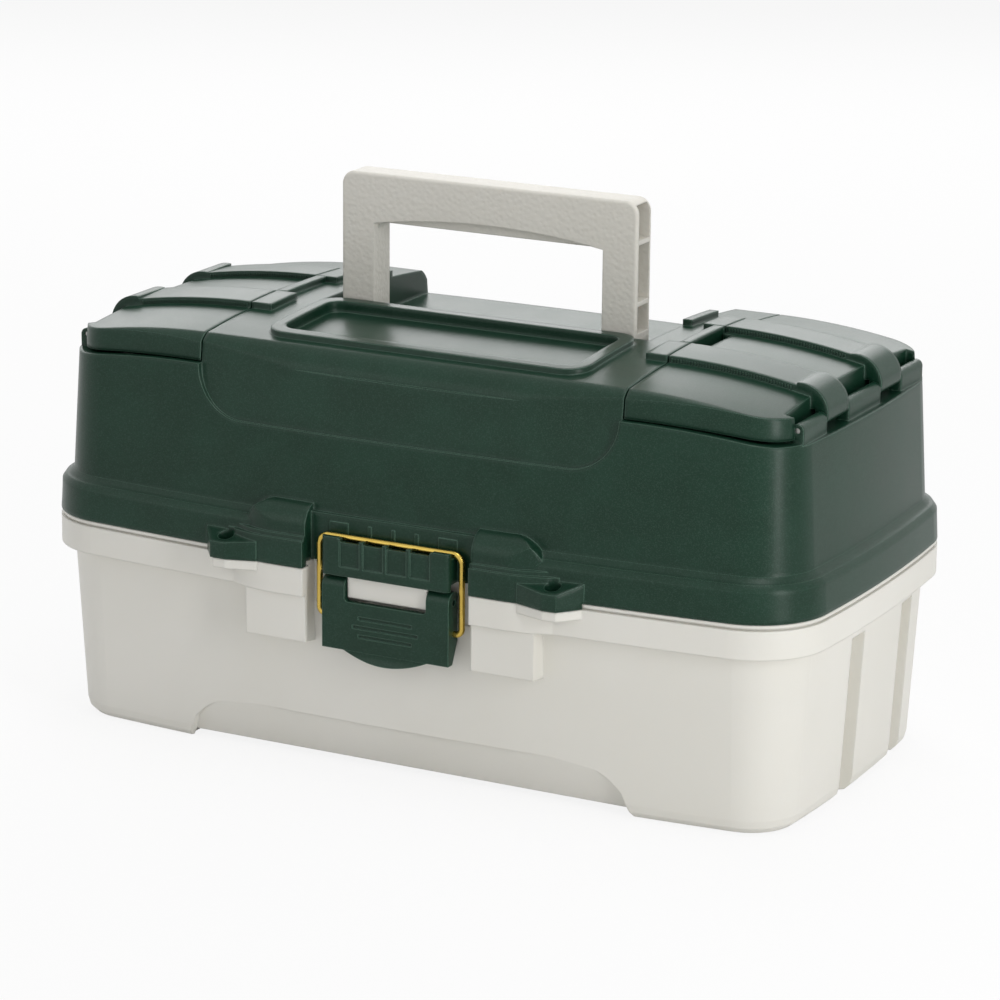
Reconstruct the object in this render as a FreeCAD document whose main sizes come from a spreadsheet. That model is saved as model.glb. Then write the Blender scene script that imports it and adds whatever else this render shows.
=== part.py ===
import FreeCAD, Part
import Sketcher
import math
import os
import re

# Fishing tackle cabinet: a tub with a hinged lid, two top access lids, a folding handle,
# a lever latch with a wire bail, and three trays that swing out on pairs of arms.
# Millimetres. +X is right, the front is -Y, +Z is up, and the origin is the middle of the base.

SIZES = {
    # plan of the rim: three tangent arcs to a quarter
    "rim_half_length": 220.0,
    "rim_half_depth": 115.3,
    "front_bow_radius": 1970.0,
    "end_bow_radius": 886.0,
    "corner_radius": 39.6,
    # heights above the ground
    "floor_thickness": 3.2,
    "base_lift": 4.0,
    "flange_low": 94.6,
    "flange_top": 109.4,
    "rim_top": 112.2,
    "lid_low": 112.7,
    "skirt_top": 128.4,
    "bead_top": 131.5,
    "shoulder_top": 134.5,
    "panel_rise": 26.5,
    "seam_drop": 19.5,
    "deck_height": 222.5,
    # walls and insets from the rim's plan
    "wall": 3.0,
    "lid_wall": 2.8,
    "foot_round": 8.0,
    "base_inset": 12.5,
    "body_inset": 7.2,
    "rim_groove": 1.0,
    "rim_groove_inset": 2.0,
    "rim_bead_inset": 0.6,
    "tongue_low_inset": 4.6,
    "tongue_wall": 2.0,
    "tongue_rise": 1.6,
    "skirt_top_inset": 0.9,
    "bead_inset": 3.1,
    "bead_step": 0.9,
    "wall_low_inset": 7.2,
    "wall_top_inset": 11.3,
    "panel_low_inset": 11.2,
    "cover_inset": 14.8,
    "cover_top_inset": 17.4,
    "deck_round": 8.0,
    "deck_edge_drop": 5.1,
    "deck_edge_place": 91.0,
    # kick recess between the feet, and the grooves in the ends
    "recess_half_length": 131.0,
    "recess_flat_half": 90.0,
    "recess_shoulder": 122.8,
    "recess_shoulder_height": 13.4,
    "recess_mid_place": 111.0,
    "recess_mid_height": 22.9,
    "recess_height": 27.0,
    "recess_top_place": 102.4,
    "recess_low_place": 92.0,
    "groove_width": 16.0,
    "groove_depth": 7.0,
    "groove_height": 86.5,
    "groove_front_place": -15.5,
    "groove_rear_place": 52.0,
    # front bosses, domes and lock ears
    "dome_near": 47.2,
    "dome_turn": 64.0,
    "dome_far": 94.0,
    "dome_step": 1.5,
    "dome_band": 2.2,
    "dome_cap_far": 85.0,
    "dome_front": 119.6,
    "dome_low": 109.9,
    "dome_top": 141.0,
    "dome_shoulder": 126.0,
    "dome_root": 100.0,
    "boss_low": 70.0,
    "boss_front": 116.4,
    "boss_slope": 2.0,
    "boss_setback": 3.0,
    "ear_place": 92.6,
    "ear_inner": 74.0,
    "ear_outer": 107.0,
    "ear_tip": 124.4,
    "ear_tip_out": 98.0,
    "ear_tip_in": 90.0,
    "ear_root": 108.0,
    "ear_top": 123.6,
    "ear_tip_top": 118.4,
    "ear_hole_radius": 4.2,
    "ear_hole_place": 117.4,
    "tab_low": 104.6,
    "tab_gap": 0.5,
    "tab_setback": 0.8,
    # latch
    "catch_half_length": 36.2,
    "catch_front": 119.6,
    "catch_low": 109.2,
    "catch_floor": 121.0,
    "catch_rib_top": 125.9,
    "catch_channel_gap": 1.0,
    "catch_sill": 4.8,
    "lid_cheek_reach": 4.5,
    "catch_lip_top": 128.8,
    "catch_rib_front_top": 128.2,
    "catch_panel_top": 126.4,
    "catch_corner": 2.6,
    "catch_lip": 3.2,
    "catch_back_top": 134.0,
    "catch_end_width": 9.6,
    "catch_rib_width": 2.0,
    "catch_panel_depth": 1.1,
    "lever_half_length": 36.0,
    "lever_top_radius": 5.8,
    "lever_low": 70.6,
    "lever_front": 118.8,
    "lever_back": 108.9,
    "lever_side_wall": 3.2,
    "lever_round": 2.0,
    "lever_window_low": 96.0,
    "lever_window_half": 23.2,
    "lever_face_wall": 3.2,
    "lever_tab_low": 65.2,
    "lever_tab_half": 24.0,
    "lever_tab_radius": 56.0,
    "lever_tab_wall": 2.4,
    "lever_tab_rise": 1.6,
    "lever_bar_height": 1.9,
    "lever_bar_depth": 0.9,
    "lever_bar_low": 77.9,
    "lever_bar_pitch": 4.7,
    "lever_bar_half": 15.2,
    "lever_bar_long": 18.6,
    "latch_pin_place": 113.0,
    "latch_pin_height": 102.4,
    "latch_pin_radius": 1.6,
    "latch_boss_half": 22.6,
    "latch_boss_front": 116.2,
    "latch_boss_low": 97.6,
    "latch_recess_back": 106.8,
    "latch_recess_low": 90.0,
    "latch_keep_back": 103.6,
    "lid_recess_back": 108.4,
    "lid_keep_back": 105.2,
    "bail_wire_radius": 1.6,
    "bail_half_length": 40.4,
    "bail_corner": 5.0,
    "bail_pivot_place": 113.0,
    "bail_pivot_height": 86.4,
    "bail_top": 127.6,
    "bail_end": 31.0,
    # rear hinge
    "hinge_place": 117.5,
    "hinge_height": 111.5,
    "hinge_radius": 4.2,
    "hinge_pin_radius": 2.0,
    "hinge_middle": 120.0,
    "hinge_half_length": 20.0,
    "hinge_knuckle_half": 6.6,
    "hinge_gap": 0.4,
    # top access lids
    "cover_length": 101.4,
    "cover_gap": 1.1,
    "cover_crown_radius": 380.0,
    "seam_end_drop": 5.6,
    "seam_gap": 0.7,
    "cover_low_drop": 4.5,
    "cover_wall": 2.5,
    "strip_near": 21.0,
    "strip_far": 47.0,
    "strip_rise": 3.2,
    "strip_setback": 13.5,
    "notch_reach": 6.1,
    "notch_far": 77.0,
    "access_hinge_inset": 18.5,
    "access_hinge_rise": 0.5,
    "access_knuckle_radius": 3.3,
    "access_pin_radius": 1.4,
    "ledge_drop": 7.1,
    "knuckle_gap": 0.6,
    "snap_slot_depth": 6.8,
    "snap_half_length": 17.0,
    "snap_bar_half": 20.4,
    "cover_end_bulge": 2.0,
    # top bins in the lid
    "bin_depth": 33.8,
    "bin_floor_thickness": 2.7,
    "bin_end_gap": 11.9,
    "bin_inset": 14.4,
    "bin_top_inset": 17.2,
    # deck: pocket, well, blocks, finger recesses
    "pocket_end_gap": 28.1,
    "pocket_front": 85.0,
    "pocket_back": 16.2,
    "pocket_corner": 13.0,
    "pocket_rim_width": 7.0,
    "pocket_rim_rise": 2.6,
    "pocket_depth": 3.2,
    "well_end_gap": 25.0,
    "well_front": 14.4,
    "well_drop": 18.9,
    "well_ridge_width": 5.0,
    "well_ridge_near": 25.0,
    "well_ridge_far": 58.0,
    "deck_block_length": 11.6,
    # handle
    "handle_end_gap": 8.9,
    "handle_leg_width": 18.9,
    "handle_half_thickness": 8.5,
    "handle_grip_height": 26.1,
    "handle_leg_length": 52.3,
    "handle_pivot_rise": 9.4,
    "handle_pivot_radius": 8.4,
    "handle_corner": 7.0,
    "handle_inner_corner": 5.0,
    "handle_cell_depth": 13.5,
    "handle_cell_wall": 2.3,
    "handle_web_low_rise": 24.5,
    "handle_web_high_rise": 3.7,
    "handle_arch_rise": 5.4,
    "handle_arch_depth": 4.4,
    "handle_pin_radius": 3.0,
    "handle_pin_reach": 11.0,
    "handle_web": 2.4,
    "handle_edge_round": 1.6,
    # trays and their arms
    "tray_side_gap": 2.5,
    "tray_depth": 126.0,
    "tray_height": 24.0,
    "tray_wall": 2.0,
    "tray_floor": 2.0,
    "tray_corner": 20.0,
    "tray_inner_corner": 18.0,
    "tray_boss_radius": 5.0,
    "tray_pin_height": 12.0,
    "tray_pin_back": 28.0,
    "divider_wall": 1.6,
    "divider_height": 20.0,
    "divider_slot": 1.2,
    "divider_gap": 0.25,
    "arm_pivot_place": 60.8,
    "arm_pivot_height": 93.2,
    "arm_spacing": 70.0,
    "arm_first": 12.0,
    "arm_pitch": 34.9,
    "arm_angle": 47.0,
    "arm_inset": 32.5,
    "arm_thickness": 3.0,
    "arm_end_radius": 7.0,
    "arm_pin_radius": 2.5,
    "arm_pin_gap": 0.08,
    "arm_head_radius": 4.6,
    "arm_head": 1.3,
    "post_radius": 6.5,
    "post_gap": 0.3,
    "link_thickness": 2.5,
    "link_stand_off": 3.4,
    "link_boss_radius": 4.6,
    "link_stud_head_radius": 7.0,
    "link_arm_place": 20.2,
    "link_arm_height": 106.3,
    "link_lid_place": 86.0,
    "link_lid_height": 119.2,
    "link_end_radius": 8.6,
    "link_slot_clearance": 2.4,
    "snap_bar_width": 5.4,
    "cover_end_before": 4.1,
    "cover_end_after": 3.4,
    "cover_end_rise": 2.4,
    "handle_well_gap": 1.9,
    # one overrun serves all cuts
    "overrun": 5.0,
    "head_gap": 0.2,
}

# Sizes that follow from others, as formulas in the same sheet.
TIED = {
    "seam_height": "deck_height - seam_drop",
    "panel_low": "seam_height - panel_rise",
    "bin_floor": "seam_height - bin_depth",
    "access_hinge_height": "seam_height + access_hinge_rise",
    "ledge_height": "access_hinge_height - ledge_drop",
    "well_floor": "deck_height - well_drop",
    "handle_pivot_height": "well_floor + handle_pivot_rise",
    "handle_window_top": "handle_pivot_height + handle_leg_length",
    "handle_top": "handle_window_top + handle_grip_height",
    "handle_web_low": "handle_pivot_height + handle_web_low_rise",
    "handle_web_high": "handle_window_top + handle_web_high_rise",
    "arm_near": "rim_half_length - arm_inset",
    "link_near": "arm_near + arm_thickness + link_stand_off",
    "tray_half_length": "arm_near - tray_side_gap",
    "access_hinge_place": "rim_half_length - access_hinge_inset",
    "notch_edge": "access_hinge_place - notch_reach",
    "strip_end": "access_hinge_place - strip_setback",
    "bin_far": "access_hinge_place - bin_end_gap",
    "gap_line": "rim_half_length - cover_length",
    "snap_slot_far": "gap_line + snap_slot_depth",
    "deck_block_inner": "gap_line - deck_block_length",
    "pocket_half_length": "gap_line - pocket_end_gap",
    "well_half_length": "gap_line - well_end_gap",
    "handle_half_length": "well_half_length - handle_end_gap",
    "handle_window_half": "handle_half_length - handle_leg_width",
    "snap_bar_near": "gap_line - snap_bar_width",
    "cover_end_near": "access_hinge_place - cover_end_before",
    "cover_end_far": "access_hinge_place + cover_end_after",
    "cover_end_low": "seam_height + cover_end_rise",
    "handle_middle": "0 - well_front + handle_well_gap + handle_half_thickness",
}

doc = FreeCAD.newDocument("TackleCabinet")
sheet = doc.addObject("Spreadsheet::Sheet", "Sizes")
cells = dict(SIZES)
for alias, formula in TIED.items():
    cells[alias] = "=" + formula
for row, (alias, value) in enumerate(cells.items(), start=1):
    sheet.set(f"A{row}", alias)
    sheet.setAlias(f"B{row}", alias)
for row, value in enumerate(cells.values(), start=1):
    sheet.set(f"B{row}", str(value))
doc.recompute()

# An edge counts as lying along an axis above this share of its direction.
NEARLY_ONE = 0.99
X_AXIS = FreeCAD.Vector(1, 0, 0)
Y_AXIS = FreeCAD.Vector(0, 1, 0)
Z_AXIS = FreeCAD.Vector(0, 0, 1)
LAY_ALONG = {
    "x": FreeCAD.Rotation(Y_AXIS, 90),
    "y": FreeCAD.Rotation(X_AXIS, -90),
    "z": FreeCAD.Rotation(),
}


def size(alias):
    """One cell of the sheet as a number."""
    return float(sheet.get(alias))


def cell(text):
    """The text with every alias written as the sheet's own cell, for setExpression."""
    return re.sub(r"[a-z_]+", lambda word: ("Sizes." if word.group(0) in cells else "") + word.group(0), text)


def block(name, x, y, z):
    """A Part box between two expressions along each axis."""
    box = doc.addObject("Part::Box", name)
    for length, place, (low, high) in (("Length", "x", x), ("Width", "y", y), ("Height", "z", z)):
        box.setExpression(length, cell(f"({high}) - ({low})"))
        box.setExpression("Placement.Base." + place, cell(low))
    return box


def rod(name, axis, centre, reach, radius):
    """A Part cylinder along one axis, between two expressions on it."""
    cylinder = doc.addObject("Part::Cylinder", name)
    cylinder.Placement.Rotation = LAY_ALONG[axis]
    cylinder.setExpression("Radius", cell(radius))
    cylinder.setExpression("Height", cell(f"({reach[1]}) - ({reach[0]})"))
    places = dict(zip([letter for letter in "xyz" if letter != axis], centre))
    places[axis] = reach[0]
    for letter, text in places.items():
        cylinder.setExpression("Placement.Base." + letter, cell(text))
    return cylinder


def solid(name, shape):
    """A Part feature whose shape is worked out from the sheet."""
    feature = doc.addObject("Part::Feature", name)
    feature.Shape = shape
    return feature


def fuse(name, *parts):
    feature = doc.addObject("Part::MultiFuse", name)
    feature.Shapes = list(parts)
    feature.Refine = True
    return feature


def common(name, *parts):
    feature = doc.addObject("Part::MultiCommon", name)
    feature.Shapes = list(parts)
    return feature


def cut(name, base, *tools):
    feature = doc.addObject("Part::Cut", name)
    feature.Base = base
    feature.Tool = tools[0] if len(tools) == 1 else fuse(name + "Tools", *tools)
    return feature


def mirrored(name, source, normal=X_AXIS):
    feature = doc.addObject("Part::Mirroring", name)
    feature.Source = source
    feature.Normal = normal
    return feature


def both(name, source, normal=X_AXIS):
    """A piece and its mirror image, as the two ends of the box have it."""
    return [source, mirrored(name, source, normal)]


def upright(edge):
    return abs(edge.tangentAt(edge.FirstParameter).z) > NEARLY_ONE


def across(edge):
    return abs(edge.tangentAt(edge.FirstParameter).y) > NEARLY_ONE


def rounded(name, base, radius, wanted):
    """A fillet on the edges of a solid that pass a test."""
    doc.recompute()
    picked = [number for number, edge in enumerate(base.Shape.Edges, start=1) if wanted(edge)]
    feature = doc.addObject("Part::Fillet", name)
    feature.Base = base
    feature.Edges = [(number, size(radius), size(radius)) for number in picked]
    return feature


def rounded_block(name, x, y, z, corner):
    """A box with its four upright edges rounded."""
    return rounded(name, block(name + "Box", x, y, z), corner, upright)


# Each finished node: its object and the name of its file.
nodes = {}


def node(label, feature):
    feature.Label = label
    nodes[label] = feature
    return feature


def outline(inset, level):
    """The rim's plan, inset and at a level: front, corner and end arcs, mirrored to a closed wire."""
    length = size("rim_half_length") - inset
    depth = size("rim_half_depth") - inset
    front = size("front_bow_radius") - inset
    end = size("end_bow_radius") - inset
    corner = size("corner_radius") - inset
    front_centre = FreeCAD.Vector(0, front - depth, level)
    end_centre = FreeCAD.Vector(length - end, 0, level)
    # the corner's centre lies front - corner and end - corner away from the two bow centres
    across = end_centre - front_centre
    along = ((front - corner) ** 2 - (end - corner) ** 2 + across.Length ** 2) / (2 * across.Length)
    aside = math.sqrt((front - corner) ** 2 - along ** 2)
    direction = FreeCAD.Vector(across).normalize()
    centre = front_centre + direction * along + Z_AXIS.cross(direction) * aside
    to_front = (centre - front_centre).normalize()
    to_end = (centre - end_centre).normalize()
    front_joint = front_centre + to_front * front
    end_joint = end_centre + to_end * end
    middle = centre + (to_front + to_end).normalize() * corner

    def quarter(x_sign, y_sign, point):
        return FreeCAD.Vector(point.x * x_sign, point.y * y_sign, level)

    front_mid = FreeCAD.Vector(0, -depth, level)
    end_mid = FreeCAD.Vector(length, 0, level)
    corners = [(1, 1), (1, -1), (-1, -1), (-1, 1)]
    edges = []
    for x_sign, y_sign in corners:
        first, last = (front_joint, end_joint) if x_sign * y_sign > 0 else (end_joint, front_joint)
        edges.append(Part.Arc(
            quarter(x_sign, y_sign, first), quarter(x_sign, y_sign, middle), quarter(x_sign, y_sign, last)))
    front_arc = Part.Arc(quarter(-1, 1, front_joint), front_mid, quarter(1, 1, front_joint))
    end_arc = Part.Arc(quarter(1, 1, end_joint), end_mid, quarter(1, -1, end_joint))
    rear_arc = Part.Arc(quarter(1, -1, front_joint), quarter(1, -1, front_mid), quarter(-1, -1, front_joint))
    left_arc = Part.Arc(quarter(-1, -1, end_joint), quarter(-1, 1, end_mid), quarter(-1, 1, end_joint))
    ring = [front_arc, edges[0], end_arc, edges[1], rear_arc, edges[2], left_arc, edges[3]]
    return Part.Wire([arc.toShape() for arc in ring])


def drafted(name, *stations):
    """A drafted body through the rim's plan at stations of (level, inset)."""
    wires = [outline(inset, level) for level, inset in stations]
    return solid(name, Part.makeLoft(wires, True, True))


def prism(name, edges, along, start, reach):
    """A closed profile of Part edges, pushed along an axis from start over reach."""
    face = Part.Face(Part.Wire(Part.__sortEdges__([edge.toShape() for edge in edges])))
    face.translate(along * start)
    return solid(name, face.extrude(along * reach))


def polygon(points):
    """The straight edges of a closed profile."""
    return [Part.LineSegment(a, b) for a, b in zip(points, points[1:] + points[:1])]


def in_front_plane(x, z):
    return FreeCAD.Vector(x, 0, z)


def in_side_plane(y, z):
    return FreeCAD.Vector(0, y, z)


def at(value, low, high, low_value, high_value):
    """The value on a straight draft between two levels."""
    share = (value - low) / (high - low)
    return low_value + (high_value - low_value) * share


# Shares of a curve's reach at which its middle lies.
SWEEP_SHARE = 0.58
SWEEP_DROP_SHARE = 0.3
CAP_DROP_SHARE = 0.26
CAP_SWEEP_SHARE = 0.72
TONGUE_DROP_SHARE = 0.22
DECK_SIDE_SHARE = 1.4
DECK_CORNER_SHARE = 0.45
HALF_CORNER = math.pi / 4
over = size("overrun")
rim_length = size("rim_half_length")
rim_depth = size("rim_half_depth")
wide = rim_length + over
deep = rim_depth + over


# Tub: the kick recess between its feet, on the front and the back
def recess(name, clearance):
    """The space between the feet, or that space grown by the wall for the inside."""
    half = size("recess_half_length") + clearance
    shoulder = size("recess_shoulder") + clearance
    middle = size("recess_mid_place") + clearance
    flat = size("recess_flat_half")
    top = size("recess_height") + clearance
    left = in_front_plane(-flat, top)
    right = in_front_plane(flat, top)
    left_shoulder = in_front_plane(-shoulder, size("recess_shoulder_height"))
    right_shoulder = in_front_plane(shoulder, size("recess_shoulder_height"))
    left_foot = in_front_plane(-half, -over)
    right_foot = in_front_plane(half, -over)
    mid_height = size("recess_mid_height") + clearance
    arch = prism(name + "Arch", [
        Part.LineSegment(left_foot, left_shoulder),
        Part.Arc(left_shoulder, in_front_plane(-middle, mid_height), left),
        Part.LineSegment(left, right),
        Part.Arc(right, in_front_plane(middle, mid_height), right_shoulder),
        Part.LineSegment(right_shoulder, right_foot),
        Part.LineSegment(right_foot, left_foot),
    ], Y_AXIS, -deep, 2 * deep)
    lean = (size("recess_top_place") - size("recess_low_place")) / (size("recess_height") - size("base_lift"))
    low = size("recess_low_place") - clearance
    side = prism(name + "Side", polygon([
        in_side_plane(-low, size("base_lift")),
        in_side_plane(-low - lean * (wide - size("base_lift")), wide),
        in_side_plane(-2 * deep - wide, wide),
        in_side_plane(-2 * deep - wide, -over),
        in_side_plane(-low, -over),
    ]), X_AXIS, -wide, 2 * wide)
    front = common(name + "Front", arch, side)
    return both(name + "Rear", front, Y_AXIS)


def grooves(name, clearance):
    """The two upright grooves in the right end, or their walls on the inside; they follow the draft."""
    half = size("groove_width") / 2 + clearance
    depth = size("groove_depth") + clearance
    high = size("groove_height") + clearance
    top_inset = at(high, 0, size("flange_low"), size("base_inset"), size("body_inset"))
    low_inset = at(-over, 0, size("flange_low"), size("base_inset"), size("body_inset"))
    made = []
    for place in (size("groove_front_place"), size("groove_rear_place")):
        bow = (abs(place) + half) ** 2 / (2 * size("end_bow_radius"))
        back = rim_length - depth - bow
        made.append(prism(f"{name}{len(made)}", polygon([
            in_front_plane(back - top_inset, high),
            in_front_plane(wide, high),
            in_front_plane(wide, -over),
            in_front_plane(back - low_inset, -over),
        ]), Y_AXIS, place - half, 2 * half))
    return fuse(name, *made)


foot_round = size("foot_round")
foot_inset = at(foot_round, 0, size("flange_low"), size("base_inset"), size("body_inset"))
foot_stations = []
for share in (0, 1, 2, 3):
    turn = share * math.pi / 6
    foot_stations.append((foot_round * (1 - math.cos(turn)), foot_inset + foot_round * (1 - math.sin(turn))))
tub_outside = fuse(
    "TubOutside",
    drafted("TubBody", *foot_stations, (size("flange_low"), size("body_inset"))),
    drafted("TubFlange", (size("flange_low"), 0), (size("flange_top"), 0)),
    drafted("TubRimGroove", (size("flange_top"), size("rim_groove_inset")),
            (size("flange_top") + size("rim_groove"), size("rim_groove_inset"))),
    drafted("TubRimBead", (size("flange_top") + size("rim_groove"), size("rim_bead_inset")),
            (size("rim_top"), size("rim_bead_inset"))),
    drafted("TubTongue", (size("flange_top"), size("tongue_low_inset")),
            (size("rim_top") + size("tongue_rise"), size("tongue_low_inset"))))
flange_inside = size("flange_low") + size("wall")
tub_cavity = fuse(
    "TubCavity",
    drafted("TubCavityBody", (size("floor_thickness"), size("base_inset") + size("wall")),
            (flange_inside, size("body_inset") + size("wall"))),
    drafted("TubCavityRim", (flange_inside, size("tongue_low_inset") + size("tongue_wall")),
            (size("rim_top") + size("tongue_rise") + over, size("tongue_low_inset") + size("tongue_wall"))))
raised_floor = block(
    "RaisedFloor", ("0 - recess_half_length - wall", "recess_half_length + wall"),
    ("0 - rim_half_depth", "rim_half_depth"), ("0 - overrun", "base_lift + floor_thickness"))
under_floor = block(
    "UnderFloor", ("0 - recess_half_length", "recess_half_length"),
    ("0 - recess_low_place", "recess_low_place"), ("0 - overrun", "base_lift"))
tub_inside = cut(
    "TubInside", tub_cavity, raised_floor, *recess("RecessWall", size("wall")),
    *both("GrooveWallLeft", grooves("GrooveWall", size("wall"))))


def bulge(name, inset, low, high):
    """The plan of a dome beside the latch: straight at its inner side, sweeping back to the skirt."""
    near = size("dome_near")
    turn = size("dome_turn")
    far = size("dome_far") - 3 * inset
    front = -size("dome_front") + inset
    root = -size("dome_root")
    skirt = -rim_depth + far ** 2 / (2 * size("front_bow_radius")) + inset
    middle = FreeCAD.Vector(turn + (far - turn) * SWEEP_SHARE, front + (skirt - front) * SWEEP_DROP_SHARE, 0)
    return prism(name, [
        Part.LineSegment(FreeCAD.Vector(near, root, 0), FreeCAD.Vector(near, front, 0)),
        Part.LineSegment(FreeCAD.Vector(near, front, 0), FreeCAD.Vector(turn, front, 0)),
        Part.Arc(FreeCAD.Vector(turn, front, 0), middle, FreeCAD.Vector(far, skirt, 0)),
        Part.LineSegment(FreeCAD.Vector(far, skirt, 0), FreeCAD.Vector(far, root, 0)),
        Part.LineSegment(FreeCAD.Vector(far, root, 0), FreeCAD.Vector(near, root, 0)),
    ], Z_AXIS, low, high - low)


def front_boss(name):
    """A moulded boss on the tub's front, set back from the flange's own bulge above it."""
    low = size("boss_low")
    front = size("boss_front")
    root = size("dome_root")
    far = size("dome_cap_far") - size("boss_setback")
    return prism(name, polygon([
        in_side_plane(-root, low - size("boss_slope")),
        in_side_plane(-front, low),
        in_side_plane(-front, size("flange_top")),
        in_side_plane(-root, size("flange_top")),
    ]), X_AXIS, size("dome_near"), far - size("dome_near"))


def ear(name, setback, low, high, tip_high):
    """A lock ear: a pointed plan that runs into the dome, with a top that falls towards its tip."""
    root = -size("ear_root")
    skirt = -rim_depth + size("ear_outer") ** 2 / (2 * size("front_bow_radius"))
    tip = -size("ear_tip") + setback
    dome = -size("dome_front") + setback
    outer = size("ear_outer") - setback
    plan = prism(name + "Plan", polygon([
        FreeCAD.Vector(size("ear_inner"), root, 0),
        FreeCAD.Vector(size("ear_inner"), dome, 0),
        FreeCAD.Vector(size("ear_tip_in"), tip, 0),
        FreeCAD.Vector(size("ear_tip_out") - setback, tip + setback / 2, 0),
        FreeCAD.Vector(outer, skirt, 0),
        FreeCAD.Vector(outer, root, 0),
    ]), Z_AXIS, low, high - low)
    side = prism(name + "Side", polygon([
        in_side_plane(root + over, low),
        in_side_plane(tip - over, low),
        in_side_plane(tip - over, tip_high),
        in_side_plane(tip, tip_high),
        in_side_plane(root, high),
        in_side_plane(root + over, high),
    ]), X_AXIS, 0, rim_length)
    return common(name, plan, side)


tab_top = size("dome_low") - size("tab_gap")
tub_tab = ear("TubTab", size("tab_setback"), size("tab_low"), tab_top, tab_top)
tub_boss = fuse("TubBoss", front_boss("TubBossLow"),
                bulge("TubBossHigh", size("rim_bead_inset"), size("flange_low"), size("flange_top")))
latch_keep = block(
    "LatchKeep", ("0 - dome_near - wall", "dome_near + wall"),
    ("0 - latch_recess_back - wall", "0 - latch_keep_back"), ("latch_recess_low", "rim_top"))
tongue_end = "(dome_near + wall + tab_gap)"
latch_recess = fuse(
    "LatchRecess",
    block("LatchRecessFront", ("0 - dome_near", "dome_near"), ("0 - dome_front - overrun", "0 - latch_recess_back"),
          ("latch_recess_low", "rim_top + tongue_rise + overrun")),
    block("LatchRecessTongue", ("0 - " + tongue_end, tongue_end), ("0 - dome_front - overrun", "0 - dome_root"),
          ("rim_top", "rim_top + tongue_rise + overrun")))
latch_boss = block(
    "LatchBoss", ("0 - latch_boss_half", "latch_boss_half"),
    ("0 - latch_boss_front", "0 - latch_keep_back"), ("latch_boss_low", "flange_top"))
tub_knuckles = []
for end in (-1, 1):
    near = f"hinge_middle + {end} * hinge_half_length"
    far = f"hinge_middle + {end} * (hinge_knuckle_half + hinge_gap)"
    reach = (near, far) if end < 0 else (far, near)
    tub_knuckles.append(rod(
        f"TubKnuckle{end + 1}", "x", ("hinge_place", "hinge_height"), reach, "hinge_radius"))
    tub_knuckles.append(block(
        f"TubKnuckleWeb{end + 1}", reach, ("rim_half_depth - wall - hinge_radius", "hinge_place"),
        ("hinge_height - 2 * hinge_radius", "hinge_height")))
hinge_hole = rod(
    "HingeHole", "x", ("hinge_place", "hinge_height"),
    ("hinge_middle - hinge_half_length - overrun", "hinge_middle + hinge_half_length + overrun"),
    "hinge_pin_radius + arm_pin_gap")


def arm_pivot(front):
    """The place of an arm's pivot on the tub, as expressions."""
    return ("arm_pivot_place - arm_spacing" if front else "arm_pivot_place", "arm_pivot_height")


arm_far = "arm_near + arm_thickness"
posts = []
post_holes = []
for front in (True, False):
    posts.append(rod(
        f"ArmPost{int(front)}", "x", arm_pivot(front),
        (arm_far + " + post_gap", "rim_half_length - wall"), "post_radius"))
    post_holes.append(rod(
        f"ArmPostHole{int(front)}", "x", arm_pivot(front),
        (arm_far, arm_far + " + post_radius + arm_head"), "arm_pin_radius"))
inside_wall = drafted(
    "InsideWall", (size("floor_thickness"), size("base_inset") + size("wall") / 2),
    (flange_inside, size("body_inset") + size("wall") / 2))
post_ends = common("ArmPostEnds", fuse("ArmPostRods", *posts), inside_wall)
ear_hole = rod("EarHole", "z", ("ear_place", "0 - ear_hole_place"), ("tab_low - overrun", "ear_top + overrun"),
               "ear_hole_radius")
latch_pin_hole = rod(
    "LatchPinHole", "x", ("0 - latch_pin_place", "latch_pin_height"),
    ("0 - latch_boss_half - overrun", "latch_boss_half + overrun"), "latch_pin_radius")
tub_right = fuse("TubRight", tub_boss, tub_tab, fuse("TubKnuckles", *tub_knuckles))
tub_outer = cut(
    "TubOuter",
    fuse("TubMoulding", cut("TubShell", tub_outside, tub_inside), latch_keep, *both("TubLeft", tub_right),
         *both("ArmPostsLeft", post_ends)),
    latch_recess, under_floor, *recess("Recess", 0),
    *both("GrooveLeft", grooves("Groove", 0)))
tub_bores = fuse("TubBores", hinge_hole, ear_hole, *post_holes)
tub = node("tub_shell", cut(
    "Tub", fuse("TubBossed", tub_outer, latch_boss), latch_pin_hole, *both("TubBoresLeft", tub_bores)))


# Lid: wall, shoulder and the raised deck with its crown
seam = size("seam_height")
deck = size("deck_height")
deck_edge = size("deck_edge_place")


def crown(name, drop, start, reach):
    """The deck's cross section, an arch with rounded shoulders, lowered by drop."""
    edge_height = deck - size("deck_edge_drop") - drop
    shoulder = deck_edge - drop + size("deck_round")
    low = size("skirt_top")
    tops = [in_side_plane(-deck_edge + drop, edge_height), in_side_plane(deck_edge - drop, edge_height)]
    side_height = edge_height - size("deck_round") * DECK_SIDE_SHARE
    corner_in = size("deck_round") * DECK_CORNER_SHARE
    left_mid = in_side_plane(-shoulder + corner_in, edge_height - corner_in)
    right_mid = in_side_plane(shoulder - corner_in, edge_height - corner_in)
    sides = [in_side_plane(-shoulder, side_height), in_side_plane(shoulder, side_height)]
    feet = [in_side_plane(-deep, seam - over), in_side_plane(deep, seam - over)]
    base = [in_side_plane(-deep, low), in_side_plane(deep, low)]
    edges = [
        Part.Arc(tops[0], in_side_plane(0, deck - drop), tops[1]),
        Part.Arc(tops[1], right_mid, sides[1]),
        Part.LineSegment(sides[1], feet[1]),
        Part.LineSegment(feet[1], base[1]),
        Part.LineSegment(base[1], base[0]),
        Part.LineSegment(base[0], feet[0]),
        Part.LineSegment(feet[0], sides[0]),
        Part.Arc(sides[0], left_mid, tops[0]),
    ]
    return prism(name, edges, X_AXIS, start, reach)


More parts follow.
